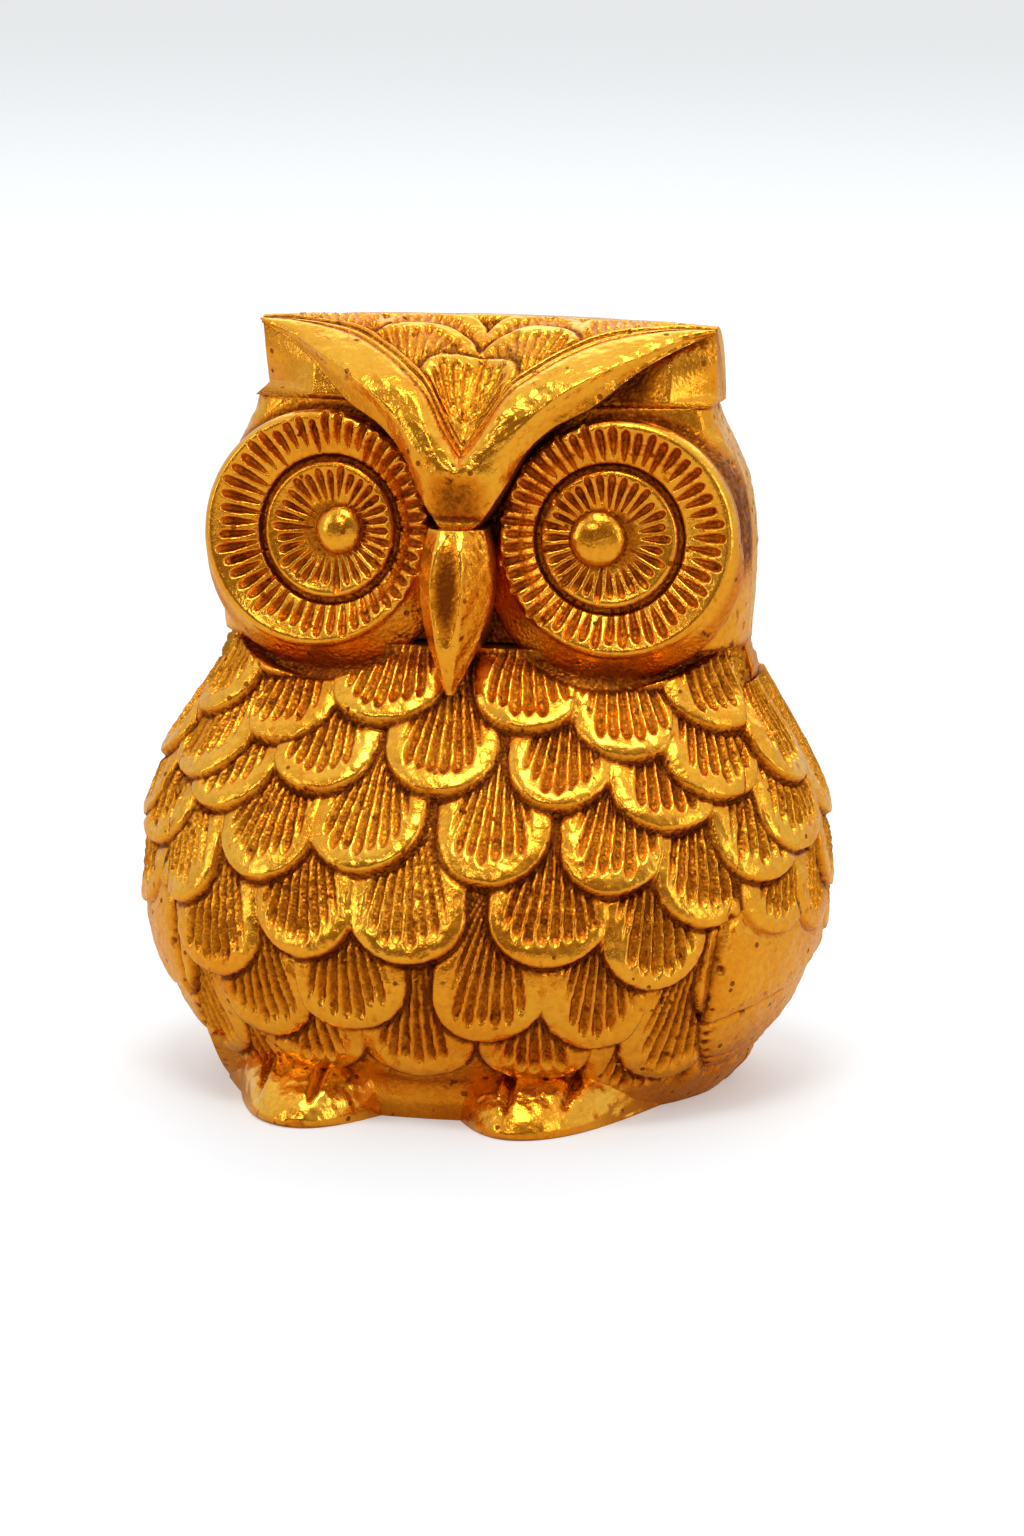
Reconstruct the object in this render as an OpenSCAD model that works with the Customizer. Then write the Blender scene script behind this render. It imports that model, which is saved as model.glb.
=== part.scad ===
// Owl figurine: hollow cast brass shells, with riveted eyes, beak, brow, wings, tail and feet.
// The owl faces -Y, its own left side is +X, and its underside rests on z = 0.

/* [Whole figure] */
// Height from the underside to the top of the crown
owl_h = 86; // [82:0.5:90]
// Height of the neck joint, where the head sits on the body
neck_z = 50.5; // [49.5:0.5:51.5]
// Height of the seam, where the crown cap sits on the head
seam_z = 77; // [76:0.5:78]
// Y of the side seam, where the front and back halves meet
side_y = 2; // [1:0.5:3]
// Wall thickness of the cast shells
wall = 3; // [2:0.25:4]

/* [Body] */
// Half width of the body shells at the belly
body_half_w = 38.8; // [37:0.2:40]
// Reach of the belly in front of the side seam
belly_reach = 32.6; // [31:0.2:33]
// Reach of the back behind the side seam
back_reach = 27.6; // [26:0.2:28]

/* [Head] */
// Half width of the head shells
head_half_w = 30.4; // [29:0.2:31]
// Reach of the back of the head behind the side seam
nape_reach = 24; // [22:0.2:25]
// Distance from the rim plane of the eyes back to the face that they sit on
face_set = 4.2; // [3.8:0.1:4.4]
// Half of the span between the two horn tips
horn_half_w = 26.2; // [25:0.1:27]

/* [Eyes] */
// Distance of each eye's centre from the middle of the face
eye_x = 17.4; // [17:0.1:18]
// Y of each eye's centre, on the plane of its rim
eye_y = -8.6; // [-9:0.1:-8]
// Height of the eyes' centres
eye_z = 63.1; // [62.5:0.1:63.5]
// Radius of each eye disc
eye_r = 13.4; // [12.8:0.1:13.8]
// Angle that each eye is turned outwards
eye_splay = 5.3; // [3:0.1:7]
// Angle that each eye is tilted upwards
eye_tilt = 7.2; // [5:0.1:9]
// Radius of each iris disc
iris_r = 7.7; // [7.2:0.1:8]
// Shift of each iris disc towards the beak
iris_in = 1.1; // [0.8:0.1:1.4]
// Radius of each pupil, the dome of the rivet
pupil_r = 2.6; // [2.2:0.1:3]
// Shift of each pupil towards the beak
pupil_in = 2.4; // [1.8:0.1:2.6]
// Radius of the rivets' shanks
shank_r = 1.2; // [1:0.1:1.4]

/* [Beak and brow] */
// Half width of the beak
beak_half_w = 4.2; // [3.8:0.1:4.4]
// Height of the beak's tip
beak_tip_z = 46; // [45:0.2:47]
// Height of the beak's top, under the bridge of the brow
beak_top_z = 63.4; // [63:0.1:64]
// Y of the beak's front ridge at its fullest
beak_y = -16.4; // [-17:0.1:-16]

/* [Wings, tail and feet] */
// Greatest thickness of a wing
wing_t = 1.5; // [1.2:0.1:2]
// Greatest thickness of the tail
tail_t = 1.5; // [1.2:0.1:2]
// Distance of each foot's middle from the middle of the body
foot_x = 13.2; // [12.5:0.1:13.5]
// Half width of each foot
foot_half_w = 9.9; // [9:0.1:10]
// Height of each foot where it meets the belly
foot_h = 6.6; // [6:0.1:7]
// Y of the toes' front
toe_y = -31.2; // [-32:0.1:-31]
// Thickness of the base plate
base_t = 2.5; // [2:0.1:3]

/* [Detail] */
// Points along half of a shell's outline
half_points = 22; // [12:2:30]
// Rows of points up each shell
shell_rows = 20; // [12:1:28]

/* [Hidden] */
gold = "goldenrod";
bright_gold = "gold";
deep_gold = "darkgoldenrod";
round_fn = 64;
fit_gap = 0.05;      // between faces that follow each other
skin_gap = 0.12;     // between a wing, tail or foot and the curved shell behind it

// Body stations: height, then half width, front reach and back reach as shares of the belly's.
body_stations = [
    [0, 0.712, 0.706, 0.768], [3, 0.784, 0.791, 0.856], [8, 0.871, 0.908, 0.954],
    [14, 0.943, 0.988, 1], [20, 0.985, 1, 1], [27, 1, 0.926, 0.990], [34, 0.969, 0.791, 0.944],
    [40, 0.902, 0.640, 0.905], [45, 0.830, 0.510, 0.872], [48.5, 0.788, 0.430, 0.850],
    [50.5, 0.771, 0.350, 0.842]];
// Head stations: height, then half width and back reach as shares of the head's.
head_stations = [
    [50.5, 0.984, 0.952], [54, 0.993, 0.975], [58, 1, 0.992], [63, 1, 1], [68, 0.977, 0.967],
    [72, 0.928, 0.900], [75, 0.878, 0.817], [77, 0.858, 0.750]];
belly_power = 2.15;  // roundness of the body's front outline
back_power = 2.45;   // and of its back
face_power = 3.6;    // the face is nearly flat
nape_power = 2.3;
// The V of the brow: distance from the middle, then Y and height of its upper line, of its
// full front, and of its lower line along the eye disc and under the horn.
brow_stations = [
    [0, -10.2, 72.2, -13.4, 68.2, -12.2, 63.6], [2.2, -9.0, 75.4, -13.0, 69.6, -12.0, 64.2],
    [4.6, -7.4, 79.2, -11.9, 72.4, -10.8, 67.6], [7.1, -5.6, 81.1, -10.6, 75.6, -9.4, 72.2],
    [10.1, -3.6, 82.9, -9.2, 78.4, -8.2, 75.1], [14, -1.2, 84.5, -7.0, 80.8, -6.4, 77.2],
    [18.6, 0.3, 85.3, -3.6, 82.8, -3.4, 81.0], [22.6, 1.3, 85.5, -0.6, 84.4, -0.5, 83.4],
    [26.2, 2.0, 85.4, 1.6, 85.2, 1.7, 84.9]];

// Smooth value of column c at x, through the stations in a table.
function seg(t, x, i = 0) = (i >= len(t) - 2 || x < t[i + 1][0]) ? i : seg(t, x, i + 1);
function slope(t, c, i) = let (a = max(i - 1, 0), b = min(i + 1, len(t) - 1))
    (t[b][c] - t[a][c]) / (t[b][0] - t[a][0]);
function smooth_at(t, x, c) = let (i = seg(t, x), h = t[i + 1][0] - t[i][0], s = (x - t[i][0]) / h)
    t[i][c] * (2 * pow(s, 3) - 3 * s * s + 1) + t[i + 1][c] * (3 * s * s - 2 * pow(s, 3))
    + h * slope(t, c, i) * (pow(s, 3) - 2 * s * s + s)
    + h * slope(t, c, i + 1) * (pow(s, 3) - s * s);

// Point on a rounded outline at angle a: half width w, reach r and roundness n.
function bend(v, n) = sign(v) * pow(abs(v), 2 / n);
function outline(a, w, r, n) = [w * bend(cos(a), n), side_y + r * bend(sin(a), n)];

// Radii of the body and head at height z, less an inset, on the front or the back half.
function body_w(z) = body_half_w * smooth_at(body_stations, z, 1);
function body_front(z) = belly_reach * smooth_at(body_stations, z, 2);
function body_back(z) = back_reach * smooth_at(body_stations, z, 3);
function body_point(a, z, out = 0) = let (front = sin(a) < 0,
        p = outline(a, body_w(z) + out, (front ? body_front(z) : body_back(z)) + out,
            front ? belly_power : back_power)) [p[0], p[1], z];
function head_w(z) = head_half_w * smooth_at(head_stations, z, 1);
function face_y(z) = eye_y + face_set - (eye_z - z) * tan(eye_tilt);
function head_back(z) = nape_reach * smooth_at(head_stations, z, 2);
function head_point(a, z, out = 0) = let (front = sin(a) < 0,
        p = outline(a, head_w(z) + out, (front ? side_y - face_y(z) : head_back(z)) + out,
            front ? face_power : nape_power)) [p[0], p[1], z];

// Closed solid between two grids of points, one outside and one inside.
module slab(outer, inner) {
    r = len(outer);
    c = len(outer[0]);
    n = r * c;
    at = function (i, j) i * c + j;
    skin = [for (i = [0:r - 2]) for (j = [0:c - 2]) each
        [[at(i, j), at(i + 1, j), at(i + 1, j + 1)], [at(i, j), at(i + 1, j + 1), at(i, j + 1)]]];
    lining = [for (f = skin) [f[2] + n, f[1] + n, f[0] + n]];
    edge = concat([for (j = [0:c - 2]) [at(0, j), at(0, j + 1)]],
        [for (i = [0:r - 2]) [at(i, c - 1), at(i + 1, c - 1)]],
        [for (j = [c - 1:-1:1]) [at(r - 1, j), at(r - 1, j - 1)]],
        [for (i = [r - 1:-1:1]) [at(i, 0), at(i - 1, 0)]]);
    sides = [for (e = edge) each [[e[0], e[1], e[1] + n], [e[0], e[1] + n, e[0] + n]]];
    polyhedron(points = [each each outer, each each inner], faces = concat(skin, lining, sides));
}

// Closed solid through a row of rings, each with the same number of points.
module loft(rings) {
    r = len(rings);
    c = len(rings[0]);
    sides = [for (i = [0:r - 2]) for (j = [0:c - 1]) let (k = (j + 1) % c) each
        [[i * c + j, (i + 1) * c + k, i * c + k], [i * c + j, (i + 1) * c + j, (i + 1) * c + k]]];
    polyhedron(points = [for (g = rings) each g], convexity = 6, faces = concat(sides,
        [[for (j = [0:c - 1]) j]], [[for (j = [c - 1:-1:0]) (r - 1) * c + j]]));
}

function heights(z0, z1, n) = [for (i = [0:n]) z0 + (z1 - z0) * i / n];
function half_turn(from) = [for (j = [0:half_points]) from + 180 * j / half_points];

module body_half(from) {
    grid = function (out) [for (z = heights(0, neck_z, shell_rows))
        [for (a = half_turn(from)) body_point(a, z, out)]];
    slab(grid(0), grid(-wall));
}

module head_half(from) {
    grid = function (out) [for (z = heights(neck_z, seam_z, round(shell_rows / 2)))
        [for (a = half_turn(from)) head_point(a, z, out)]];
    slab(grid(0), grid(-wall));
}

// Moves its children to an eye: +Z points out of the face, and z = 0 is the plane of its rim.
module at_eye(side) {
    translate([side * eye_x, eye_y, eye_z]) rotate([0, 0, side * eye_splay])
        rotate([90 - eye_tilt, 0, 0]) children();
}

module body_front_shell() { color(gold) body_half(180); }
module body_back_shell() { color(deep_gold) body_half(0); }
module head_front_shell() {
    color(gold) difference() {
        head_half(180);
        for (side = [-1, 1]) at_eye(side) rivet_bore(side);
    }
}
module head_back_shell() { color(deep_gold) head_half(0); }

// Y of the face, and of the front of the belly, at a distance x from the middle.
function share(v, w, n) = pow(max(0, 1 - pow(min(1, abs(v) / w), n)), 1 / n);
function face_at(x, z) = side_y - (side_y - face_y(z)) * share(x, head_w(z), face_power);
function belly_at(x, z) = side_y - body_front(z) * share(x, body_w(z), belly_power);

// Crown cap: sections across the head, each from the V of the brow over the top to the seam.
horn_flare = 1;      // the cap's outline is this much wider than the horns
crown_bulge = 0.9;   // rise of the crown's plate between the V and the back edge
edge_y = 5.9;        // back edge of the crown, in the middle
horn_y = 3;          // and at the horns
edge_drop = 0.3;     // fall of that edge towards the horns
v_gap = [0.4, 0.15]; // from the brow's upper line to the crown's plate
function cap_outline(x, reach, n) = reach * share(x, horn_half_w + horn_flare, n);
function cap_front(x) = side_y - cap_outline(x, side_y - face_y(seam_z), face_power);
function cap_back(x) = side_y + cap_outline(x, head_back(seam_z), nape_power);
function plate_y(x) = smooth_at(brow_stations, abs(x), 1) + v_gap[0];
function plate_z(x) = smooth_at(brow_stations, abs(x), 2) + v_gap[1];
function crown_ring(x) = let (
        k = pow(x / horn_half_w, 2), y0 = plate_y(x), z0 = plate_z(x),
        y1 = horn_y + (edge_y - horn_y) * (1 - k), z1 = owl_h - edge_drop * k,
        yb = cap_back(x), yf = cap_front(x), low = z0 < seam_z,
        rise = crown_bulge * min(1, (y1 - y0) / 10)) concat(
    [for (s = [0, 0.25, 0.5, 0.75])
        [x, y0 + (y1 - y0) * s - rise * sin(180 * s), z0 + (z1 - z0) * s + rise * sin(180 * s)]],
    [for (q = [0:22.5:90])
        [x, y1 + (yb - y1) * sin(q), seam_z + (z1 - seam_z) * (q == 90 ? 0 : cos(q))]],
    [[x, yf, seam_z], low ? [x, face_at(x, z0) - fit_gap, z0]
        : [x, (yf + y0) / 2, (seam_z + z0) / 2]]);
// Y of the front of the cap or of the face at height z, where the brow lies against it.
function rest_at(x, z) = z < seam_z ? face_at(x, z) - fit_gap
    : let (s = (z - seam_z) / (plate_z(x) - seam_z))
        cap_front(x) + (plate_y(x) - cap_front(x)) * min(1, s) - fit_gap;
function brow_ring(x) = let (c = [for (i = [1:6]) smooth_at(brow_stations, abs(x), i)])
    [[x, c[0], c[1]], [x, c[2], c[3]], [x, c[4], c[5]],
     [x, max(c[4] + 0.3, rest_at(x, c[5])), c[5]], [x, rest_at(x, c[1] - fit_gap), c[1] - fit_gap]];
cross_steps = [for (i = [-18:18]) horn_half_w * sin(5 * i)];

module crown_cap() { color(bright_gold) loft([for (x = cross_steps) crown_ring(x)]); }
module brow() { color(bright_gold) loft([for (x = cross_steps) brow_ring(x)]); }

// Beak stations: height above the tip as a share of its length, then half width as a share,
// and how far the ridge and the edges stand behind its fullest point.
beak_stations = [[0, 0.10, 1.3, 1.5], [0.18, 0.46, 0.5, 2.2], [0.4, 0.82, 0.1, 3.2],
    [0.63, 1, 0, 4], [0.86, 0.94, 1, 4.2], [1, 0.78, 2.8, 4.4]];
flank_share = 0.55;  // the facets' corner lies this far from the ridge to the edge
function beak_ring(s) = let (z = beak_tip_z + s * (beak_top_z - beak_tip_z),
        w = beak_half_w * smooth_at(beak_stations, s, 1),
        ridge = beak_y + smooth_at(beak_stations, s, 2),
        edge = beak_y + smooth_at(beak_stations, s, 3),
        back = max(edge + 0.3, (z < neck_z ? belly_at(0, z) : face_y(z)) - skin_gap))
    [[0, ridge, z], [-w * flank_share, (ridge + edge) / 2 - 0.3, z], [-w, edge, z],
     [-w * 0.8, back, z], [w * 0.8, back, z], [w, edge, z],
     [w * flank_share, (ridge + edge) / 2 - 0.3, z]];
module beak() { color(gold) loft([for (i = [12:-1:0]) beak_ring(i / 12)]); }

// Eyes: a dished disc against the face, an iris disc seated in it, and a rivet through both.
seat_z = -3;         // iris seat, below the rim plane
iris_t = 1.2;        // thickness of an iris disc
iris_dish = 0.7;     // depth of its dish
dome_h = 1.7;        // height of a pupil's dome
shank_l = 5.4;       // from under the dome to the peened end
peen_r = 2;
peen_h = 0.8;
rivet_bore_depth = 14;
module rivet_bore(side) {
    translate([-side * pupil_in, 0, -rivet_bore_depth])
        cylinder(r = shank_r + fit_gap, h = 2 * rivet_bore_depth, $fn = round_fn);
}
module eye_disc(side) {
    at_eye(side) difference() {
        rotate_extrude($fn = round_fn) polygon([[0, fit_gap - face_set],
            [eye_r - 0.3, fit_gap - face_set], [eye_r, 0.4 - face_set], [eye_r, -0.9],
            [eye_r - 0.6, -0.15], [eye_r - 1.1, 0], [eye_r - 1.7, -0.2],
            [iris_r + iris_in + 0.4, -1.7], [iris_r + iris_in + 0.2, seat_z], [0, seat_z]]);
        rivet_bore(side);
    }
}
module iris_disc(side) {
    at_eye(side) difference() {
        translate([-side * iris_in, 0, seat_z + fit_gap])
            rotate_extrude($fn = round_fn) polygon([[0, 0], [iris_r, 0], [iris_r, iris_t - 0.3],
                [iris_r - 0.4, iris_t], [iris_r - 1, iris_t], [pupil_r + 1.4, iris_t - iris_dish],
                [0, iris_t - iris_dish]]);
        rivet_bore(side);
    }
}
module pupil_rivet(side) {
    dome_z = seat_z + iris_t - iris_dish + 2 * fit_gap;
    at_eye(side) translate([-side * pupil_in, 0, dome_z]) rotate_extrude($fn = round_fn)
        polygon(concat([for (q = [0:9:90]) [pupil_r * cos(q), dome_h * sin(q)]],
            [[0, -shank_l - peen_h], [peen_r, -shank_l - peen_h], [peen_r, -shank_l],
             [shank_r, -shank_l], [shank_r, 0]]));
}
module eye_disc_left() { color(gold) eye_disc(1); }
module eye_disc_right() { color(gold) eye_disc(-1); }
module iris_disc_left() { color(deep_gold) iris_disc(1); }
module iris_disc_right() { color(deep_gold) iris_disc(-1); }
module pupil_rivet_left() { color(bright_gold) pupil_rivet(1); }
module pupil_rivet_right() { color(bright_gold) pupil_rivet(-1); }

// Wing and tail: leaves laid on the body, thickest in the middle. Rows run up the leaf, and
// each station is a height, then the first and last angle from the side that it lies on.
leaf_edge = 0.5;     // thickness along a leaf's border
leaf_rows = 14;
leaf_cols = 12;
wing_stations = [[3.5, -26, 58], [8, -34, 66], [16, -37, 66], [24, -36, 60], [32, -32, 50],
    [40, -26, 38], [46.5, -13, 20]];
tail_stations = [[1.5, -15, 15], [8, -19, 19], [16, -20, 20], [23, -14, 14], [27, -5, 5]];
module leaf(stations, middle, way, thick) {
    z0 = stations[0][0];
    z1 = stations[len(stations) - 1][0];
    grid = function (full) [for (i = [0:leaf_rows]) let (u = i / leaf_rows, z = z0 + (z1 - z0) * u,
            a0 = smooth_at(stations, z, 1), a1 = smooth_at(stations, z, 2))
        [for (j = [0:leaf_cols]) let (v = j / leaf_cols,
                lens = pow(4 * v * (1 - v), 0.5) * pow(4 * u * (1 - u), 0.3))
            body_point(middle + way * (a0 + (a1 - a0) * v), z,
                skin_gap + (full ? leaf_edge + (thick - leaf_edge) * lens : 0))]];
    if (way > 0) slab(grid(true), grid(false)); else slab(grid(false), grid(true));
}
module wing_left() { color(gold) leaf(wing_stations, 0, 1, wing_t); }
module wing_right() { color(gold) leaf(wing_stations, 180, -1, wing_t); }
module tail() { color(deep_gold) leaf(tail_stations, 90, 1, tail_t); }

// Feet: rows going up, each from the belly behind it to the front of three toes.
toe_notch = 0.1;     // depth of the cuts between the toes, as a share of their reach
foot_points = 24;
foot_rows = 8;
toe_stations = [[0, 0.6], [0.2, 0], [0.5, 0.8], [0.8, 2.8], [1, 4.6]];
module foot(side) {
    ring = function (h) let (z = foot_h * h, half = foot_half_w * (1 - 0.14 * pow(h, 3)),
            front = toe_y + smooth_at(toe_stations, h, 1),
            back = [for (i = [0:foot_points]) let (v = 2 * i / foot_points - 1,
                x = side * foot_x + half * v) [x, belly_at(x, z) - skin_gap, z]],
            reach = max(0.1, belly_at(side * foot_x, z) - front - 0.5))
        concat(back, [for (i = [foot_points:-1:0]) let (v = 2 * i / foot_points - 1,
                toe = abs(sin(270 * (v + 1))))
            back[i] - [0, 0.4 + reach * share(v, 1, 2.6) * (1 - toe_notch * (1 - toe)), 0]]);
    loft([for (i = [foot_rows:-1:0]) ring(i / foot_rows)]);
}
module foot_left() { color(bright_gold) foot(1); }
module foot_right() { color(bright_gold) foot(-1); }

// Base plate: closes the underside, inside the foot of the shells.
module base_plate() {
    color(deep_gold) linear_extrude(base_t) polygon([for (j = [0:2 * half_points - 1])
        let (p = body_point(180 * j / half_points, 0, -wall - skin_gap)) [p[0], p[1]]]);
}

body_front_shell();
body_back_shell();
head_front_shell();
head_back_shell();
crown_cap();
brow();
beak();
eye_disc_left();
eye_disc_right();
iris_disc_left();
iris_disc_right();
pupil_rivet_left();
pupil_rivet_right();
wing_left();
wing_right();
tail();
foot_left();
foot_right();
base_plate();
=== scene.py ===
"""Owl figurine in cast and chased brass: the looks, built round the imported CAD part."""

import math

import bpy
import numpy as np
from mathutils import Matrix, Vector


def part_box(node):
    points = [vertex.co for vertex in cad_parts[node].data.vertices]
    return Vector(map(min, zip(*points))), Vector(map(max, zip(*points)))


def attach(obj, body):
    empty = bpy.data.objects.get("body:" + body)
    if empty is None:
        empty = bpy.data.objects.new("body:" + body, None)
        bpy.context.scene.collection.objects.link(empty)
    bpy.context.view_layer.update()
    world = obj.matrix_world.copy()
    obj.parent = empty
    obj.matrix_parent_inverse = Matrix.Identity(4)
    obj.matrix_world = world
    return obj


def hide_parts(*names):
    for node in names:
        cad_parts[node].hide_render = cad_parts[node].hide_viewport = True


bl_info = {
    "name": "Owl figurine",
    "version": (1, 0, 0),
    "blender": (4, 5, 0),
    "location": "3D View > Sidebar > Owl",
    "description": "Builds the feathered brass owl piece by piece round its CAD frame",
    "category": "Object",
}

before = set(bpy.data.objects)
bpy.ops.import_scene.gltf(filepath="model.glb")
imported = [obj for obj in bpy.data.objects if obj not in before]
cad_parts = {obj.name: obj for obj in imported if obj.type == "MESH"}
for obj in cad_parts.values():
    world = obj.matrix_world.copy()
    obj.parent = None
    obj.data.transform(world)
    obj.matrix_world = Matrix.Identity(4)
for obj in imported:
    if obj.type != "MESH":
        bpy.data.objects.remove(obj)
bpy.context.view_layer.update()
MM = 0.001


def box_mm(node):
    """Lowest and highest corner of a CAD node, in millimetres."""
    lo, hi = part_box(node)
    return np.array(lo) / MM, np.array(hi) / MM


# Sizes that come from the frame, in millimetres.
BODY_LO, BODY_HI = box_mm("body_front_shell")
HEAD_HI = box_mm("head_front_shell")[1]
CAP_HI = box_mm("crown_cap")[1]
BEAK_LO, BEAK_HI = box_mm("beak")
SIDE_Y = BODY_HI[1]
NECK_Z = BODY_HI[2]
SEAM_Z = HEAD_HI[2]
OWL_H = CAP_HI[2]
BODY_W = BODY_HI[0]
BELLY = SIDE_Y - BODY_LO[1]
BACK = box_mm("body_back_shell")[1][1] - SIDE_Y
HEAD_W = HEAD_HI[0]
NAPE = box_mm("head_back_shell")[1][1] - SIDE_Y
HORN_W = CAP_HI[0]
CAP_W = HORN_W + 1
BODY_MIDDLE, HEAD_MIDDLE = (0, SIDE_Y, 25), (0, SIDE_Y, 63)
# Wall of the shells, and how many rows of the outside there are to one of the inside.
WALL, COARSE = 3.0, 8
# Eyes: turn outwards and upwards, radii of the discs and pupils, how far the disc's face stands
# before the head, and how far iris and pupil sit towards the beak.
EYE_SPLAY, EYE_TILT = math.radians(5.3), math.radians(7.2)
EYE_R, IRIS_R, PUPIL_R = 13.4, 7.7, 2.6
FACE_SET, IRIS_IN, PUPIL_IN = 4.2, 1.1, 2.4
DISC_WALL = (12.6, 13.2)
EYE_AXIS = np.array([math.sin(EYE_SPLAY) * math.cos(EYE_TILT),
                     -math.cos(EYE_SPLAY) * math.cos(EYE_TILT), math.sin(EYE_TILT)])
DISC_LO, DISC_HI = box_mm("eye_disc_left")
EYE = (DISC_LO + DISC_HI) / 2 + EYE_AXIS * (FACE_SET - 0.05) / 2

# Stations: height, then half width, front reach and back reach as shares of the belly's.
BODY_STATIONS = [
    (0, .712, .706, .768), (3, .784, .791, .856), (8, .871, .908, .954), (14, .943, .988, 1),
    (20, .985, 1, 1), (27, 1, .926, .990), (34, .969, .791, .944), (40, .902, .640, .905),
    (45, .830, .510, .872), (48.5, .788, .430, .850), (50.5, .771, .350, .842)]
HEAD_STATIONS = [
    (50.5, .984, .952), (54, .993, .975), (58, 1, .992), (63, 1, 1), (68, .977, .967),
    (72, .928, .900), (75, .878, .817), (77, .858, .750)]
BELLY_POWER, BACK_POWER, FACE_POWER, NAPE_POWER = 2.15, 2.45, 3.6, 2.3
# The V of the brow: distance from the middle, then Y and height of its upper line, of its
# full front, and of its lower line.
BROW_STATIONS = [
    (0, -10.2, 72.2, -13.4, 68.2, -12.2, 63.6), (2.2, -9.0, 75.4, -13.0, 69.6, -12.0, 64.2),
    (4.6, -7.4, 79.2, -11.9, 72.4, -10.8, 67.6), (7.1, -5.6, 81.1, -10.6, 75.6, -9.4, 72.2),
    (10.1, -3.6, 82.9, -9.2, 78.4, -8.2, 75.1), (14, -1.2, 84.5, -7.0, 80.8, -6.4, 77.2),
    (18.6, 0.3, 85.3, -3.6, 82.8, -3.4, 81.0), (22.6, 1.3, 85.5, -0.6, 84.4, -0.5, 83.4),
    (26.2, 2.0, 85.4, 1.6, 85.2, 1.7, 84.9)]
BEAK_STATIONS = [
    (0, .10, 1.3, 1.5), (.18, .46, .5, 2.2), (.4, .82, .1, 3.2), (.63, 1, 0, 4),
    (.86, .94, 1, 4.2), (1, .78, 2.8, 4.4)]
WING_LOW, WING_HIGH = 3.5, 46.5
WING_STATIONS = [(WING_LOW, -26, 58), (8, -34, 66), (16, -37, 66), (24, -36, 60), (32, -32, 50),
                 (40, -26, 38), (WING_HIGH, -13, 20)]
TAIL_LOW, TAIL_HIGH = 1.5, 27
TAIL_STATIONS = [(TAIL_LOW, -15, 15), (8, -19, 19), (16, -20, 20), (23, -14, 14), (TAIL_HIGH, -5, 5)]

# Rows of feathers, the top row first: height of the tips in the middle, angle of the first
# feather, angle between feathers, feathers on each side, half width, length of the round tip.
FRONT_ROWS = [(51.0, 5, 19, 5, 6.2, 5.4), (43.0, 14.5, 20.5, 4, 6.5, 5.6), (36.3, 0, 21, 4, 6.5, 5.8),
              (28.2, 10, 20, 4, 6.5, 6.0), (19.6, 0, 20, 5, 6.6, 6.0), (11.2, 10, 20, 4, 6.4, 5.4),
              (6.2, 0, 20, 4, 6.2, 5.0)]
BACK_ROWS = [(45.0, 9, 19, 4, 5.6, 5.0), (37.5, 0, 19, 4, 5.8, 5.4), (29.5, 10, 20, 4, 6.0, 5.6),
             (21.0, 0, 20, 4, 6.0, 5.6), (12.5, 10, 20, 4, 6.0, 5.2), (5.0, 0, 20, 4, 5.6, 4.4)]
NAPE_ROWS = [(73.5, 0, 20, 4, 4.4, 4.0), (67.5, 10, 20, 4, 4.6, 4.2), (61.0, 0, 20, 4, 4.7, 4.4),
             (54.5, 10, 20, 4, 4.7, 4.4)]
WING_ROWS = [(51.0, 5, 19, 8, 6.2, 5.4), (43.0, 14.5, 20.5, 7, 6.5, 5.6), (36.3, 0, 21, 7, 6.5, 5.8),
             (32.3, 70, 20, 1, 6.8, 6.0), (28.2, 10, 20, 3, 6.5, 6.0)]


def stacked(x, y, z):
    """Points of a grid, from coordinates that may still have to be spread over it."""
    return np.stack(np.broadcast_arrays(x, y, z), -1)


def between(a, b, t):
    """Grid of values that runs from column a to column b along t."""
    return a[:, None] * (1 - t) + b[:, None] * t


def smooth_at(table, x, column):
    """Smooth value of a column at x, through the stations in a table."""
    t = np.array([row[0] for row in table], float)
    v = np.array([row[column] for row in table], float)
    last = len(t) - 1
    i = np.clip(np.searchsorted(t, x, side="right") - 1, 0, last - 1)
    before, after = np.maximum(i - 1, 0), np.minimum(i + 2, last)
    h = t[i + 1] - t[i]
    m0 = (v[i + 1] - v[before]) / (t[i + 1] - t[before])
    m1 = (v[after] - v[i]) / (t[after] - t[i])
    s = (x - t[i]) / h
    return (v[i] * (2 * s**3 - 3 * s**2 + 1) + v[i + 1] * (3 * s**2 - 2 * s**3)
            + h * m0 * (s**3 - 2 * s**2 + s) + h * m1 * (s**3 - s**2))


def bend(v, n):
    """Sine or cosine bent so that a circle becomes a rounder or squarer outline."""
    return np.sign(v) * np.abs(v) ** (2 / n)


def skin_point(phi, z, half, ahead, behind, powers):
    """Point on an outline at an angle from the front, positive towards +X, as (..., 3)."""
    s, c = np.sin(np.radians(phi)), np.cos(np.radians(phi))
    n = np.where(c > 0, *powers)
    y = SIDE_Y - np.where(c > 0, ahead, behind) * bend(c, n)
    return stacked(half * bend(s, n), y, z)


def body_point(phi, z, out=0.0):
    """Point on the body, at an angle from the front and a height."""
    half, ahead, behind = (reach * smooth_at(BODY_STATIONS, z, column) + out
                           for column, reach in enumerate((BODY_W, BELLY, BACK), 1))
    return skin_point(phi, z, half, ahead, behind, (BELLY_POWER, BACK_POWER))


def face_y(z):
    """Y of the face's flat front, which leans back with the eyes."""
    return EYE[1] + FACE_SET - (EYE[2] - z) * math.tan(EYE_TILT)


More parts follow.
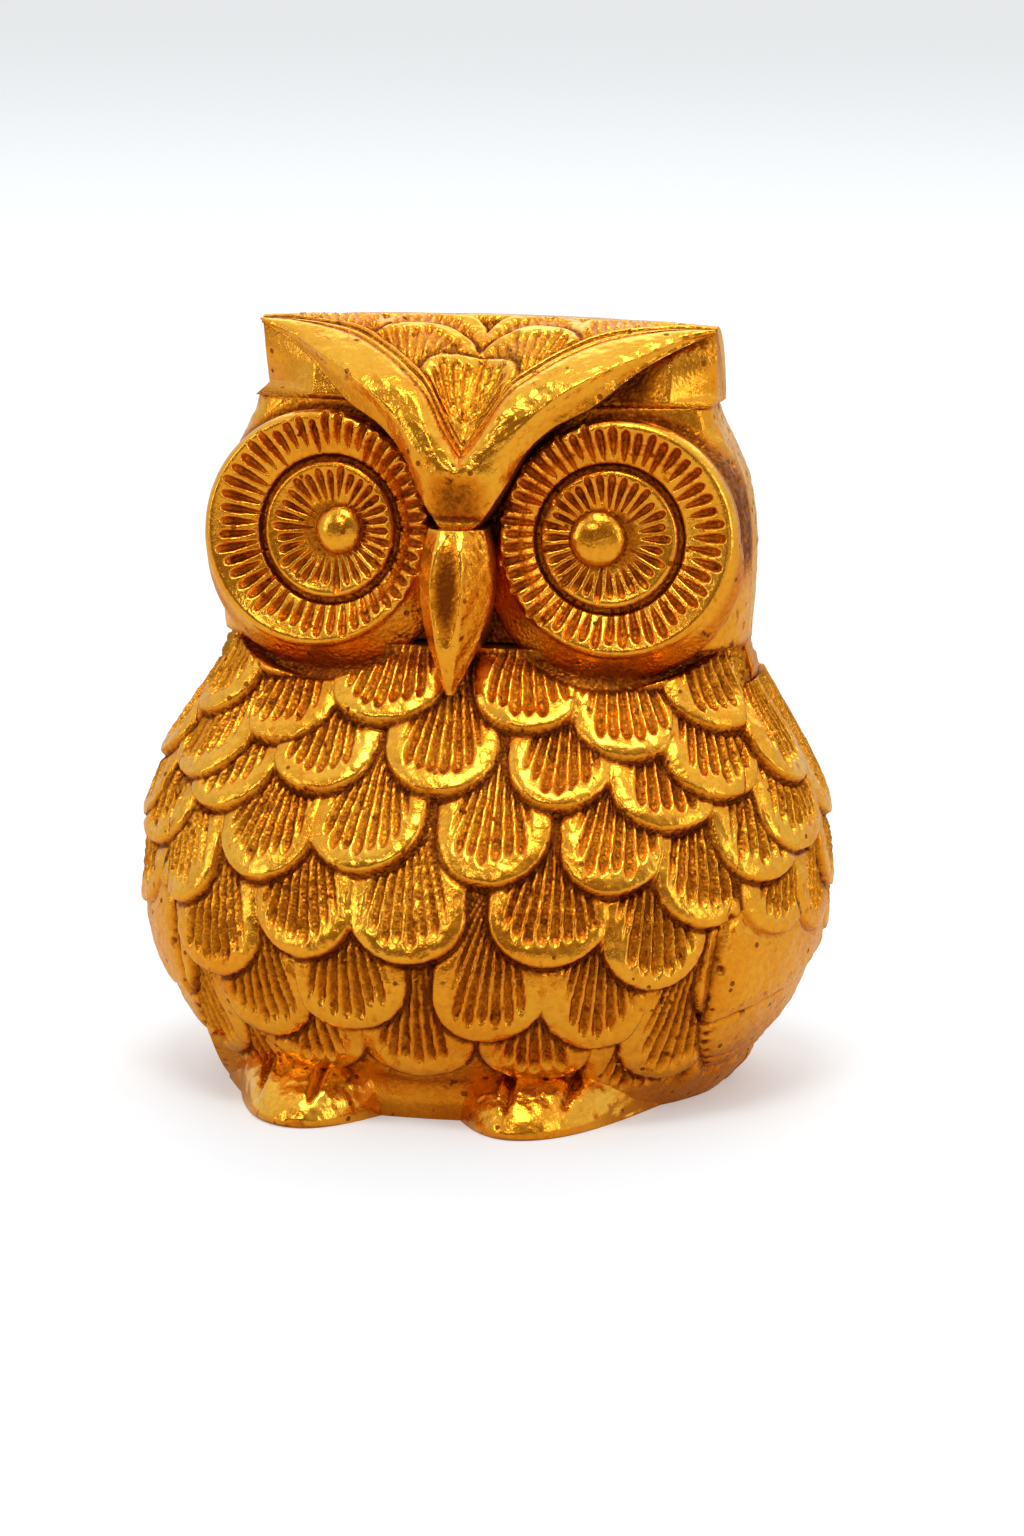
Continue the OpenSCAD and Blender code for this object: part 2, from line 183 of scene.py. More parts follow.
def head_point(phi, z, out=0.0):
    """Point on the head, at an angle from the front and a height."""
    half, behind = (reach * smooth_at(HEAD_STATIONS, z, column) + out
                    for column, reach in enumerate((HEAD_W, NAPE), 1))
    return skin_point(phi, z, half, SIDE_Y - face_y(z) + out, behind, (FACE_POWER, NAPE_POWER))


def share(v, w, n):
    """Depth of an outline at v across, as a share of its greatest depth."""
    return np.maximum(0, 1 - np.minimum(1, np.abs(v) / w) ** n) ** (1 / n)


def belly_at(x, z):
    """Y of the body's front."""
    return SIDE_Y - BELLY * smooth_at(BODY_STATIONS, z, 2) * share(
        x, BODY_W * smooth_at(BODY_STATIONS, z, 1), BELLY_POWER)


def face_at(x, z):
    """Y of the head's front."""
    return SIDE_Y - (SIDE_Y - face_y(z)) * share(
        x, HEAD_W * smooth_at(HEAD_STATIONS, np.clip(z, NECK_Z, SEAM_Z), 1), FACE_POWER)


def cap_front_at(x):
    """Y of the crown's front at the seam."""
    return SIDE_Y - (SIDE_Y - face_y(SEAM_Z)) * share(x, CAP_W, FACE_POWER)


def step(x, lo, hi):
    """Smooth step from 0 at lo to 1 at hi."""
    t = np.clip((x - lo) / (hi - lo), 0, 1)
    return t * t * (3 - 2 * t)


def bell(x, width):
    """1 at 0, and close to 0 a few widths away."""
    return np.exp(-(x / width) ** 2)


def ripple(points, size, seed):
    """Smooth noise from -1 to 1, a sum of waves about size millimetres long."""
    rng = np.random.default_rng(seed)
    total = np.zeros(points.shape[:-1])
    for _ in range(7):
        way = rng.normal(size=3)
        way *= 2 * math.pi / size * rng.uniform(0.6, 1.5) / np.linalg.norm(way)
        total += np.sin(points @ way + rng.uniform(0, 6.28))
    return total / 3.5


def waviness(points):
    """Height of the unevenness left by casting and hand finishing."""
    broad, middling, fine = (ripple(points, size, seed) for size, seed in ((9.0, 5), (2.4, 6), (1.1, 7)))
    return 0.09 * broad + 0.055 * middling + 0.022 * fine


def grid_normals(grid, centre):
    """Unit normals of a grid of points, turned away from the centre."""
    n = np.cross(np.gradient(grid, axis=0), np.gradient(grid, axis=1))
    n /= np.maximum(np.linalg.norm(n, axis=-1, keepdims=True), 1e-9)
    away = np.sum(n * (grid - centre), -1)
    return n * (1 if np.sum(away) > 0 else -1)


# --- meshes -------------------------------------------------------------------------------

def volume(points, faces):
    """Signed volume, below nought when the faces point inwards."""
    tri = [(f[0], f[k], f[k + 1]) for f in faces for k in range(1, len(f) - 1)]
    a, b, c = (points[np.array(tri)[:, k]] for k in range(3))
    return np.sum(a * np.cross(b, c)) / 6


def make_piece(name, points, smooth_faces, flat_faces, patina_and_shade, kind):
    """A closed mesh object, from points in millimetres."""
    faces = [tuple(int(i) for i in f) for f in smooth_faces]
    faces += [tuple(int(i) for i in f) for f in flat_faces]
    if volume(points, faces) < 0:
        faces = [f[::-1] for f in faces]
    mesh = bpy.data.meshes.new(name)
    mesh.from_pydata((points * MM).tolist(), [], faces)
    is_smooth = np.arange(len(faces)) < len(smooth_faces)
    mesh.polygons.foreach_set("use_smooth", is_smooth)
    # The patina attribute holds real patina, and also painted shade and painted dark reflections.
    attribute = mesh.attributes.new("patina_and_shade", "FLOAT", "POINT")
    attribute.data.foreach_set("value", np.asarray(patina_and_shade, np.float32).ravel())
    mesh.materials.append(brass(kind))
    mesh.update()
    thing = bpy.data.objects.new(name, mesh)
    bpy.context.scene.collection.objects.link(thing)
    return thing


def add_piece(name, node, kind, shape):
    """A finished piece: points, faces and patina with painted shade made a mesh, and placed for its
    node.
    """
    place(make_piece(name, *shape, kind), node)


def place(thing, node):
    """The piece rides the owl and stands for its CAD node."""
    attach(thing, "root")
    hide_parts(node)


def coarse(grid):
    """Every COARSE-th row and column of a grid, for the hidden side of a shell."""
    return grid[::COARSE, ::COARSE]


def border(rows, cols):
    """Border of a grid, as its indices in the order in which the faces use them."""
    top = [(0, j) for j in range(cols - 1)]
    right = [(i, cols - 1) for i in range(rows - 1)]
    low = [(rows - 1, j) for j in range(cols - 1, 0, -1)]
    left = [(i, 0) for i in range(rows - 1, 0, -1)]
    return [i * cols + j for i, j in top + right + low + left]


def closed_shell(outer, inner, patina_and_shade):
    """Points, faces and patina with painted shade of a solid between a fine grid and a coarser one
    behind it.
    """
    rows, cols = outer.shape[:2]
    r, c = inner.shape[:2]
    k = (rows - 1) // (r - 1)
    i, j = np.mgrid[0:rows - 1, 0:cols - 1]
    a = (i * cols + j).ravel()
    skin = np.stack([a, a + 1, a + cols + 1, a + cols], 1).tolist()
    i, j = np.mgrid[0:r - 1, 0:c - 1]
    b = (i * c + j).ravel() + rows * cols
    lining = np.stack([b, b + c, b + c + 1, b + 1], 1).tolist()
    out_loop = border(rows, cols)
    in_loop = [m + rows * cols for m in border(r, c)]
    strips = []
    for m in range(len(in_loop)):
        run = [out_loop[(m * k + t) % len(out_loop)] for t in range(k, -1, -1)]
        strips.append(run + [in_loop[m], in_loop[(m + 1) % len(in_loop)]])
    points = np.concatenate([outer.reshape(-1, 3), inner.reshape(-1, 3)])
    shade = np.concatenate([patina_and_shade.ravel(), np.ones(r * c)])
    return points, skin, lining + strips, shade


def loft(rings, patina_and_shade):
    """Points, faces and patina with painted shade of a solid through closed rings, with flat ends."""
    n, m = rings.shape[:2]
    i, j = np.mgrid[0:n - 1, 0:m]
    a, b = (i * m + j).ravel(), (i * m + (j + 1) % m).ravel()
    skin = np.stack([a, b, b + m, a + m], 1).tolist()
    ends = [list(range(m))[::-1], [(n - 1) * m + q for q in range(m)]]
    return rings.reshape(-1, 3), skin, ends, patina_and_shade.ravel()


def revolve(profile, turns):
    """Points and faces of a closed turned solid; the profile runs pole to pole."""
    a = np.linspace(0, 2 * math.pi, turns, endpoint=False)
    body = np.array(profile[1:-1])
    r, z = body[:, :1], body[:, 1:]
    ring = np.stack([r * np.cos(a), r * np.sin(a), z + 0 * a], -1).reshape(-1, 3)
    points = np.concatenate([ring, [[0, 0, profile[0][1]], [0, 0, profile[-1][1]]]])
    n = len(body)
    i, j = np.mgrid[0:n - 1, 0:turns]
    p, q = (i * turns + j).ravel(), (i * turns + (j + 1) % turns).ravel()
    faces = np.stack([p, q, q + turns, p + turns], 1).tolist()
    first, last = n * turns, n * turns + 1
    for t in range(turns):
        u = (t + 1) % turns
        faces.append([first, u, t])
        faces.append([last, (n - 1) * turns + t, (n - 1) * turns + u])
    return points, faces


def corner_blend(ring, width):
    """Rounds the corners of closed rings, given as (rings, points, 3)."""
    kernel = np.exp(-(np.arange(-width * 2, width * 2 + 1) / width) ** 2)
    kernel /= kernel.sum()
    return sum(k * np.roll(ring, s, axis=1) for k, s in zip(kernel, range(-width * 2, width * 2 + 1)))


# --- feathers -----------------------------------------------------------------------------

def tip_inside(u, v, half, tip):
    """How far a point lies inside a feather with straight sides and a round tip."""
    round_part = v < tip
    w = np.where(round_part, (tip - v) / tip, 0)
    rho = np.sqrt((u / half) ** 2 + w**2)
    slope = np.sqrt((u / half**2) ** 2 + (w / tip) ** 2)
    return (1 - rho) * rho / np.maximum(slope, 1e-4)


def flutes(u, v, inside, rng, look):
    """Chased flutes that fan from the root of a feather: cut from 0 to 1."""
    reach = look["fan"] - v
    r = np.hypot(u, reach)
    pitch = look["flute_pitch"] / (look["fan"] - 3.0)
    q = np.arctan2(u, np.maximum(reach, 0.5)) / pitch + rng.choice([0, 0.5]) + rng.uniform(-.12, .12)
    k = np.round(q)
    ends = rng.uniform(-0.5, 0.75, 41)
    end = look["rim"] + ends[np.clip(k + 20, 0, 40).astype(int)]
    run = np.clip((inside - end) / look["flute_end"], 0, 1)
    wide = look["flute_share"] * np.sqrt(run) * step(r, 1.5, 4)
    x = (q - k) / np.maximum(wide, 1e-3)
    return np.sqrt(np.clip(1 - x**2, 0, 1)) * np.minimum(1, run * 1.6)


BODY_LOOK = {"fan": 23.0, "flute_pitch": 1.5, "rim": 1.7, "flute_end": 1.4, "flute_share": 0.45,
             "flute_depth": 0.62, "tip_rise": 0.78, "lean": 11.0, "root": -0.12, "crown": 0.22,
             "bevel": 0.26, "bevel_width": 1.5, "dish": 0.06, "gutter": 0.34}
NAPE_LOOK = dict(BODY_LOOK, fan=12.0, flute_pitch=1.15, rim=1.4, tip_rise=0.5, lean=8.0, root=-0.25)
CROWN_LOOK = dict(BODY_LOOK, flute_pitch=1.15, rim=0.75, flute_end=1.0, flute_depth=0.55,
                  tip_rise=0.28, lean=12.0, root=-0.25, crown=0.15, bevel=0.15, bevel_width=0.7,
                  dish=0.0, gutter=0.25)
OUTSIDE = -9.0
EDGE = (-0.20, 0.26)


def feather_height(u, v, inside, cut, half, look, side_lean=0.0):
    """Height of one feather: raised at its tip, arched, bevelled, dished and fluted."""
    h = look["tip_rise"] - (look["tip_rise"] - look["root"]) * np.clip(v / look["lean"], 0, 1)
    h = h + side_lean * u - look["crown"] * (u / half) ** 2
    h = h - look["bevel"] * np.clip(1 - inside / look["bevel_width"], 0, 1) ** 2
    return h - np.clip((inside - 1.4) / 1.6, 0, 1) * look["dish"] - look["flute_depth"] * cut


def empty_row(shape):
    """How far inside a feather each point lies, then its height and patina, for a bare row."""
    return np.full(shape, OUTSIDE), np.zeros(shape), np.zeros(shape)


def lay_beside(row, part, inside, height, patina_and_shade):
    """Lays a feather in its row: each point goes to the feather that it lies deepest in."""
    mine = inside > row[0][part]
    for grid, values in zip(row, (inside, height, patina_and_shade)):
        grid[part][mine] = values[mine]


def gutter_at(inside):
    """1 in the fine groove under a feather's edge."""
    return bell(inside + 0.30, 0.34)


def lay_over(height, patina_and_shade, row, look):
    """Lays one row over the rows already there, with a fine dark groove under its edge and a painted
    shadow on the row below it.
    """
    inside, row_h, row_p = row
    gap = gutter_at(inside)
    # Painted shadow: the row below is darkened beside this row's edge.
    shadow = 0.38 * np.exp(-np.abs(inside) / 1.1)
    over = step(inside, *EDGE)
    low = height - look["gutter"] * gap
    stained_and_shaded = np.clip(np.maximum(patina_and_shade, 0.95 * gap) + shadow, 0, 1)
    return low * (1 - over) + row_h * over, stained_and_shaded * (1 - over) + row_p * over


def at_column(table, phi, angle):
    """Values of a grid's columns at an angle, between the two nearest."""
    col = np.interp(angle, phi, np.arange(len(phi)))
    j = min(int(col), len(phi) - 2)
    return table[:, j] * (1 - col + j) + table[:, j + 1] * (col - j)


def feather_relief(phi, z, along, up, rows, look, seed, sag):
    """Height, patina with painted shadow under each row's edge, and cover of overlapping rows of
    feathers on a grid of angles and heights.
    """
    shape = along.shape
    height = np.full(shape, look["root"] - 0.1)
    patina_and_shade = np.full(shape, 0.45)
    covered = np.zeros(shape)
    for z0, first, pitch, count, half, tip in reversed(rows):
        row = empty_row(shape)
        for angle in sorted({s * (first + k * pitch) for k in range(count) for s in (-1, 1)}):
            rng = np.random.default_rng(1000 * seed + int(round(angle * 10)) + int(z0 * 7) * 5000)
            centre = angle + rng.uniform(-1.7, 1.7)
            tip_z = z0 - sag * min(abs(angle), 92) ** 2 + rng.uniform(-0.7, 0.6)
            tilt, side_lean = rng.uniform(-0.11, 0.11), rng.uniform(-0.07, 0.07)
            wide, tall = half * rng.uniform(0.94, 1.07), tip * rng.uniform(0.88, 1.12)
            if not phi[0] <= centre <= phi[-1]:
                continue
            u = along - at_column(along, phi, centre)[:, None]
            v = up - at_column(up.T, z, tip_z)[None, :] + min(0.0, z[-1] - tip_z)
            # Only the part of the grid that the feather can reach is worked out.
            cols = np.flatnonzero((np.abs(u) < 1.7 * wide).any(0))
            lines = np.flatnonzero(((v > -2) & (v < 26)).any(1))
            if len(cols) == 0 or len(lines) == 0:
                continue
            part = (slice(lines[0], lines[-1] + 1), slice(cols[0], cols[-1] + 1))
            u, v = u[part] + tilt * v[part], v[part]
            inside = tip_inside(u, v, wide, tall)
            cut = flutes(u, v, inside, rng, look)
            stain_and_shade = 0.72 * cut**1.4 + 0.12 * np.clip(v / 9, 0, 1)
            lay_beside(row, part, inside, feather_height(u, v, inside, cut, wide, look, side_lean),
                       np.maximum(stain_and_shade, 0.25 * bell(inside, 0.35)))
        height, patina_and_shade = lay_over(height, patina_and_shade, row, look)
        covered = np.maximum(covered, step(row[0], *EDGE))
        covered = np.maximum(covered, 0.5 * bell(row[0], 0.5))
    return height, patina_and_shade, covered


def chase(grid, phi, z, rows, look, seed, sag=0.0024):
    """Feather relief on a grid of points laid out by angle (columns) and height (rows)."""
    across = np.linalg.norm(np.diff(grid, axis=1), axis=-1)
    along = np.concatenate([np.zeros((len(z), 1)), np.cumsum(across, 1)], 1)
    rise = np.linalg.norm(np.diff(grid, axis=0), axis=-1)
    up = np.concatenate([np.zeros((1, len(phi))), np.cumsum(rise, 0)], 0)
    return feather_relief(phi, z, along, up, rows, look, seed, sag)


def pit_row(grid, spots, depth, radius):
    """Small casting pits at given points of a grid: a height and a patina."""
    height, patina_and_shade = np.zeros(grid.shape[:2]), np.zeros(grid.shape[:2])
    for spot, size in spots:
        d = np.linalg.norm(grid - spot, axis=-1) / (radius * size)
        dip = np.exp(-d**4)
        height -= depth * size * dip
        patina_and_shade = np.maximum(patina_and_shade, dip)
    return height, patina_and_shade


def joined(*parts):
    """Columns or rows of a grid: runs of evenly spaced values, each (from, to, steps)."""
    out = [np.linspace(a, b, n, endpoint=False) for a, b, n in parts]
    return np.concatenate(out + [[parts[-1][1]]])


# --- material -----------------------------------------------------------------------------

class Tree:
    """Short hand for building a node tree."""

    def __init__(self, tree):
        self.nodes, self.links = tree.nodes, tree.links

    def put(self, socket, value):
        """Links a socket to another one, or sets its own value."""
        if isinstance(value, bpy.types.NodeSocket):
            self.links.new(value, socket)
        else:
            socket.default_value = value

    def add(self, kind, *first, **named):
        """A new node: its first inputs in order, others by name with _ for a space."""
        made = self.nodes.new(kind)
        for socket, value in zip(made.inputs, first):
            self.put(socket, value)
        for name, value in named.items():
            self.put(made.inputs[name.replace("_", " ")], value)
        return made

    def math(self, operation, a, b=0.0, c=0.0):
        """A Math node's result."""
        made = self.nodes.new("ShaderNodeMath")
        made.operation = operation
        for socket, value in zip(made.inputs, (a, b, c)):
            self.put(socket, value)
        return made.outputs[0]

    def ramp(self, value, stops):
        """The colour that a value has on a ramp of colours, each with its position."""
        made = self.nodes.new("ShaderNodeValToRGB")
        while len(made.color_ramp.elements) < len(stops):
            made.color_ramp.elements.new(0.5)
        for element, (at, colour) in zip(made.color_ramp.elements, stops):
            element.position = at
            element.color = (*colour, 1)
        self.put(made.inputs[0], value)
        return made.outputs[0]

    def noise(self, vector, scale, detail, rough=0.55):
        """A noise from 0 to 1."""
        return self.add("ShaderNodeTexNoise", Vector=vector, Scale=scale, Detail=detail,
                        Roughness=rough).outputs[0]

    def stir(self, value, noise, amount):
        """A value with a noise added, centred on nought."""
        return self.math("MULTIPLY_ADD", self.math("SUBTRACT", noise, 0.5), amount, value)

    def mix(self, factor, a, b, blend="MIX"):
        """Two colours mixed by a factor."""
        made = self.nodes.new("ShaderNodeMix")
        made.data_type = "RGBA"
        made.blend_type = blend
        self.put(made.inputs[0], factor)
        self.put(made.inputs[6], a)
        self.put(made.inputs[7], b)
        return made.outputs[2]


BUMP_SIZE = 0.0002
FINISHES = {
    # name: patina added everywhere, roughness of the polish, scratch strength, orange tone
    "feathered_brass": (0.02, 0.19, 0.7, 0.5),
    "polished_brass": (0.00, 0.16, 1.0, 0.35),
    "engraved_brass": (0.02, 0.20, 0.6, 0.6),
    "plain_brass": (0.25, 0.34, 0.5, 0.5),
}


def brass(kind):
    """Cast brass: polished on its high points, brown in its recesses and where shade is painted, pitted
    and scratched.
    """
    label = kind + "_finish"
    if label in bpy.data.materials:
        return bpy.data.materials[label]
    colours = bpy.context.scene.owl_colours
    base, polish, scratch, tone = FINISHES[kind]
    material = bpy.data.materials.new(label)
    material.use_nodes = True
    t = Tree(material.node_tree)
    t.nodes.clear()
    spot = t.add("ShaderNodeTexCoord").outputs["Object"]
    patina_and_shade_read = t.add("ShaderNodeAttribute")
    patina_and_shade_read.attribute_name = "patina_and_shade"
    broad = t.noise(spot, 85.0, 2.0)
    grain = t.noise(spot, 1500.0, 4.0, 0.6)
    bead = t.add("ShaderNodeTexVoronoi", Vector=spot, Scale=2300.0)
    pits = t.add("ShaderNodeTexVoronoi", Vector=spot, Scale=520.0)
    # Only some cells hold a pit, and each pit is a small part of its cell.
    chance = t.add("ShaderNodeSeparateColor", pits.outputs["Color"])
    has_pit = t.math("GREATER_THAN", chance.outputs[0], 0.66)
    pit = t.math("MULTIPLY", t.math("LESS_THAN", pits.outputs["Distance"], 0.17), has_pit)
    stretched = t.add("ShaderNodeMapping", Vector=spot, Rotation=(0.4, 0.7, 0.5),
                      Scale=(4200.0, 260.0, 700.0))
    fine = t.noise(stretched.outputs[0], 1.0, 2.0, 0.7)
    # Patina and painted shade: the attribute's value for recesses and painted shade, broken up by the
    # noises, plus the pits and the stained spots.
    uneven = t.stir(t.stir(patina_and_shade_read.outputs["Fac"], grain, 0.75), broad, 0.45)
    total = t.math("MAXIMUM", t.math("ADD", uneven, base), t.math("MULTIPLY", pit, 0.85))
    spots = t.math("SUBTRACT", t.noise(spot, 620.0, 2.0, 0.5), 0.63)
    spots = t.math("MAXIMUM", t.math("MULTIPLY", spots, 5.0), 0.0)
    total = t.math("ADD", total, t.math("MINIMUM", spots, 0.55))
    total = t.math("MINIMUM", t.math("MAXIMUM", total, 0.0), 1.0)
    gold, amber, brown = tuple(colours.gold), tuple(colours.amber), tuple(colours.recess)
    middle = tuple(0.5 * (a + b) for a, b in zip(gold, amber))
    # The brown end of the ramp colours both the patina in the cuts and the painted shade.
    colour = t.ramp(total, [(0.0, gold), (0.22, middle), (0.5, amber), (0.95, brown)])
    warm = t.ramp(broad, [(0.3, (1.0, 1.0, 1.0)), (0.7, (1.0, 0.80 + 0.1 * (1 - tone), 0.62))])
    colour = t.mix(1.0, colour, warm, "MULTIPLY")
    rough = t.stir(t.math("MULTIPLY_ADD", total, 0.26, polish), grain, 0.16)
    metal = t.math("SUBTRACT", 1.0, t.math("MULTIPLY", t.math("POWER", total, 3.0), 0.08))
    # Relief finer than the mesh: beads in the recesses, scratches on the polish, pits.
    beads = t.math("MULTIPLY", t.math("SUBTRACT", 0.6, bead.outputs["Distance"]), total)
    scratched = t.math("MULTIPLY", fine, 0.10 * scratch)
    relief = t.math("ADD", t.math("MULTIPLY", beads, 0.9), scratched)
    relief = t.math("ADD", relief, t.math("MULTIPLY", grain, 0.34))
    relief = t.math("SUBTRACT", relief, t.math("MULTIPLY", pit, 0.9))
    bump = t.add("ShaderNodeBump", Height=relief, Distance=BUMP_SIZE, Strength=0.75)
    shader = t.add("ShaderNodeBsdfPrincipled", Base_Color=colour, Metallic=metal, Roughness=rough,
                   Normal=bump.outputs[0])
    t.add("ShaderNodeOutputMaterial", shader.outputs[0])
    return material


# --- pieces -------------------------------------------------------------------------------

def wing_edge(z, column):
    """First or last angle of a wing from the front, at a height."""
    return 90 + smooth_at(WING_STATIONS, np.clip(z, WING_LOW, WING_HIGH), column)


def close_half(part, front, point_at, turn, z, outer, patina_and_shade):
    """Closes half of a shell at the joint plane and at its two ends, and places it."""
    outer[..., 1] = (np.minimum if front else np.maximum)(outer[..., 1], SIDE_Y)
    outer[..., 2] = np.clip(outer[..., 2], z[0], z[-1])
    outer[0, :, 2], outer[-1, :, 2] = z[0], z[-1]
    inner = point_at(*np.meshgrid(turn[::COARSE], z[::COARSE]), -WALL)
    name = part + ("_front" if front else "_back")
    add_piece(name, name + "_shell", "feathered_brass", closed_shell(outer, inner, patina_and_shade))


def build_body_half(front):
    """Half of the body: feathered outside, plain inside, sunk where a wing covers it."""
    sizes = bpy.context.scene.owl_sizes
    if front:
        phi = joined((-90, -56, 48), (-56, 56, 344), (56, 90, 48))
        z = joined((0, NECK_Z, 216))
        rows, seed = FRONT_ROWS, 11
    else:
        phi = joined((-90, -50, 24), (-50, 50, 256), (50, 90, 24))
        z = joined((0, NECK_Z, 168))
        rows, seed = BACK_ROWS, 12
    turn = phi if front else 180 + phi
    a, h = np.meshgrid(turn, z)
    grid = body_point(a, h)
    height, patina_and_shade, _ = chase(grid, phi, z, rows, BODY_LOOK, seed)
    p = np.broadcast_to(np.abs(phi), height.shape)
    edge = wing_edge(h, 1) if front else 180 - wing_edge(h, 2)
    in_span = step(h, 2.0, 4.5) * (1 - step(h, 46, 48))
    under = step(p, edge - 0.1, edge + 1.0) * in_span
    below = 1 - step(h, 19, 24) if front else 0.6
    shore = bell(p - edge + 0.3, 1.1) * in_span * (0.15 + 0.85 * below)
    height = height * (1 - under) - 1.15 * under - 0.45 * shore * (1 - under)
    patina_and_shade = np.maximum(patina_and_shade, np.maximum(shore * 0.8, under))
    # A plain skirt under the last row, and a band at the neck.
    skirt = 1 - step(h, 2.4, 4.4)
    flare = 3.3 * np.clip(1 - h / 6.0, 0, 1) ** 2 * (1 - step(p, 30, 54)) if front else 0.15
    height = height * (1 - skirt) + flare * skirt
    patina_and_shade = patina_and_shade * (1 - skirt) + 0.22 * skirt
    if front:
        # Painted shadow: under each eye disc the body sinks, and the sunk band is painted dark.
        from_eye = np.hypot(np.abs(grid[..., 0]) - EYE[0], h - EYE[2])
        sunk_and_shadowed = (1 - step(from_eye, EYE_R + 2.2, EYE_R + 3.3)) * step(h, 44, 46)
        height = height * (1 - sunk_and_shadowed) - 1.9 * sunk_and_shadowed
        patina_and_shade = np.maximum(patina_and_shade, 0.85 * sunk_and_shadowed)
    patina_and_shade = np.maximum(patina_and_shade, 0.35 * step(h, NECK_Z - 0.8, NECK_Z))
    if not front:
        # The tail lies over the lower back.
        lap = (1 - step(p, 14, 17)) * (1 - step(h, 22, 25))
        height = height * (1 - lap) - 0.6 * lap
    height = np.where(height > 0, height * sizes.relief, height)
    height += waviness(grid)
    fade = np.where(height > 0, 1, step(h, 0.0, 1.0)) * (1 - 0.9 * step(h, NECK_Z - 0.4, NECK_Z))
    most = np.where(h < 5, 3.4, 0.95)
    height = np.minimum(height * fade, most)
    outer = grid + grid_normals(grid, BODY_MIDDLE) * height[..., None]
    close_half("body", front, body_point, turn, z, outer, patina_and_shade)


def build_head_half(front):
    """Half of the head: a smooth rim round the eyes in front, small feathers behind."""
    rng = np.random.default_rng(21 if front else 22)
    phi = joined((-90, 90, 240))
    z = joined((NECK_Z, SEAM_Z, 112))
    turn = phi if front else 180 + phi
    a, h = np.meshgrid(turn, z)
    grid = head_point(a, h)
    p = np.broadcast_to(np.abs(phi), h.shape)
    if front:
        across = np.abs(grid[..., 0])
        away = np.hypot(across - EYE[0], h - EYE[2]) - EYE_R
        # A collar swells from the face to meet each eye disc.
        collar = (1 - step(away, 0.1, 5.5)) * step(across, 5, 12)
        collar = collar * step(away, -2.2, -0.6) * (1 - 0.8 * step(h, 70, 75))
        collar = collar * (1 - step(p, 60, 86))
        # Painted shade: the face is darkened in a band round each eye disc and between the eyes.
        patina_and_shade = 0.10 + 0.75 * (1 - step(away, -0.2, 0.9))
        patina_and_shade = np.maximum(patina_and_shade, 0.85 * (1 - step(across, 4, 9)))
        height = waviness(grid)
    else:
        height, patina_and_shade, _ = chase(grid, phi, z, NAPE_ROWS, NAPE_LOOK, 23, 0.0)
        calm = step(p, 68, 76)
        height = height * (1 - calm) + waviness(grid)
        patina_and_shade = patina_and_shade * (1 - calm) + 0.15 * calm
    spots = []
    for s in (-1, 1):
        for q in np.arange(NECK_Z + 2, SEAM_Z - 1, 2.3):
            at = s * (84.5 + rng.uniform(-1.5, 1.5))
            if rng.uniform() < 0.8:
                at = at if front else 180 + at
                spot = head_point(np.array(at), np.array(q + rng.uniform(-.6, .6)))
                spots.append((spot, rng.uniform(0.6, 1.3)))
    dips, dark = pit_row(grid, spots, 0.35, 0.34)
    height += dips
    patina_and_shade = np.maximum(patina_and_shade, dark)
    ends = np.minimum(step(h, NECK_Z, NECK_Z + 0.8), 1 - step(h, SEAM_Z - 0.6, SEAM_Z))
    patina_and_shade = np.maximum(patina_and_shade, 0.7 * (1 - ends))
    height = np.minimum(height * ends * (1 - step(p, 87.5, 89.6)), 0.5)
    outer = grid + grid_normals(grid, HEAD_MIDDLE) * height[..., None]
    if front:
        outer[..., 1] -= 2.6 * collar
    close_half("head", front, head_point, turn, z, outer, patina_and_shade)


def wing_lobes(base, phi, zz):
    """Height and patina of two long smooth feathers, each with a rolled lower edge."""
    height, patina_and_shade = np.full(zz.shape, -0.30), np.full(zz.shape, 0.18)
    for start, slope, droop, rise in ((5.6, 0.05, 0.001, 0.10), (11.2, 0.10, 0.002, 0.50)):
        line = start + slope * (phi - 58) - droop * np.maximum(phi - 80, 0) ** 2
        d = zz - line - 0.25 * ripple(base, 7.0, 58)
        lobe = rise - 0.42 * np.clip(d / 9, 0, 1) - 0.30 * np.clip(1 - d / 1.6, 0, 1) ** 2
        over = step(d, -0.15, 0.2)
        gap = gutter_at(d)
        height = (height - 0.35 * gap) * (1 - over) + lobe * over
        patina_and_shade = np.maximum(patina_and_shade, 0.95 * gap) * (1 - over) + 0.12 * over
    return height, patina_and_shade


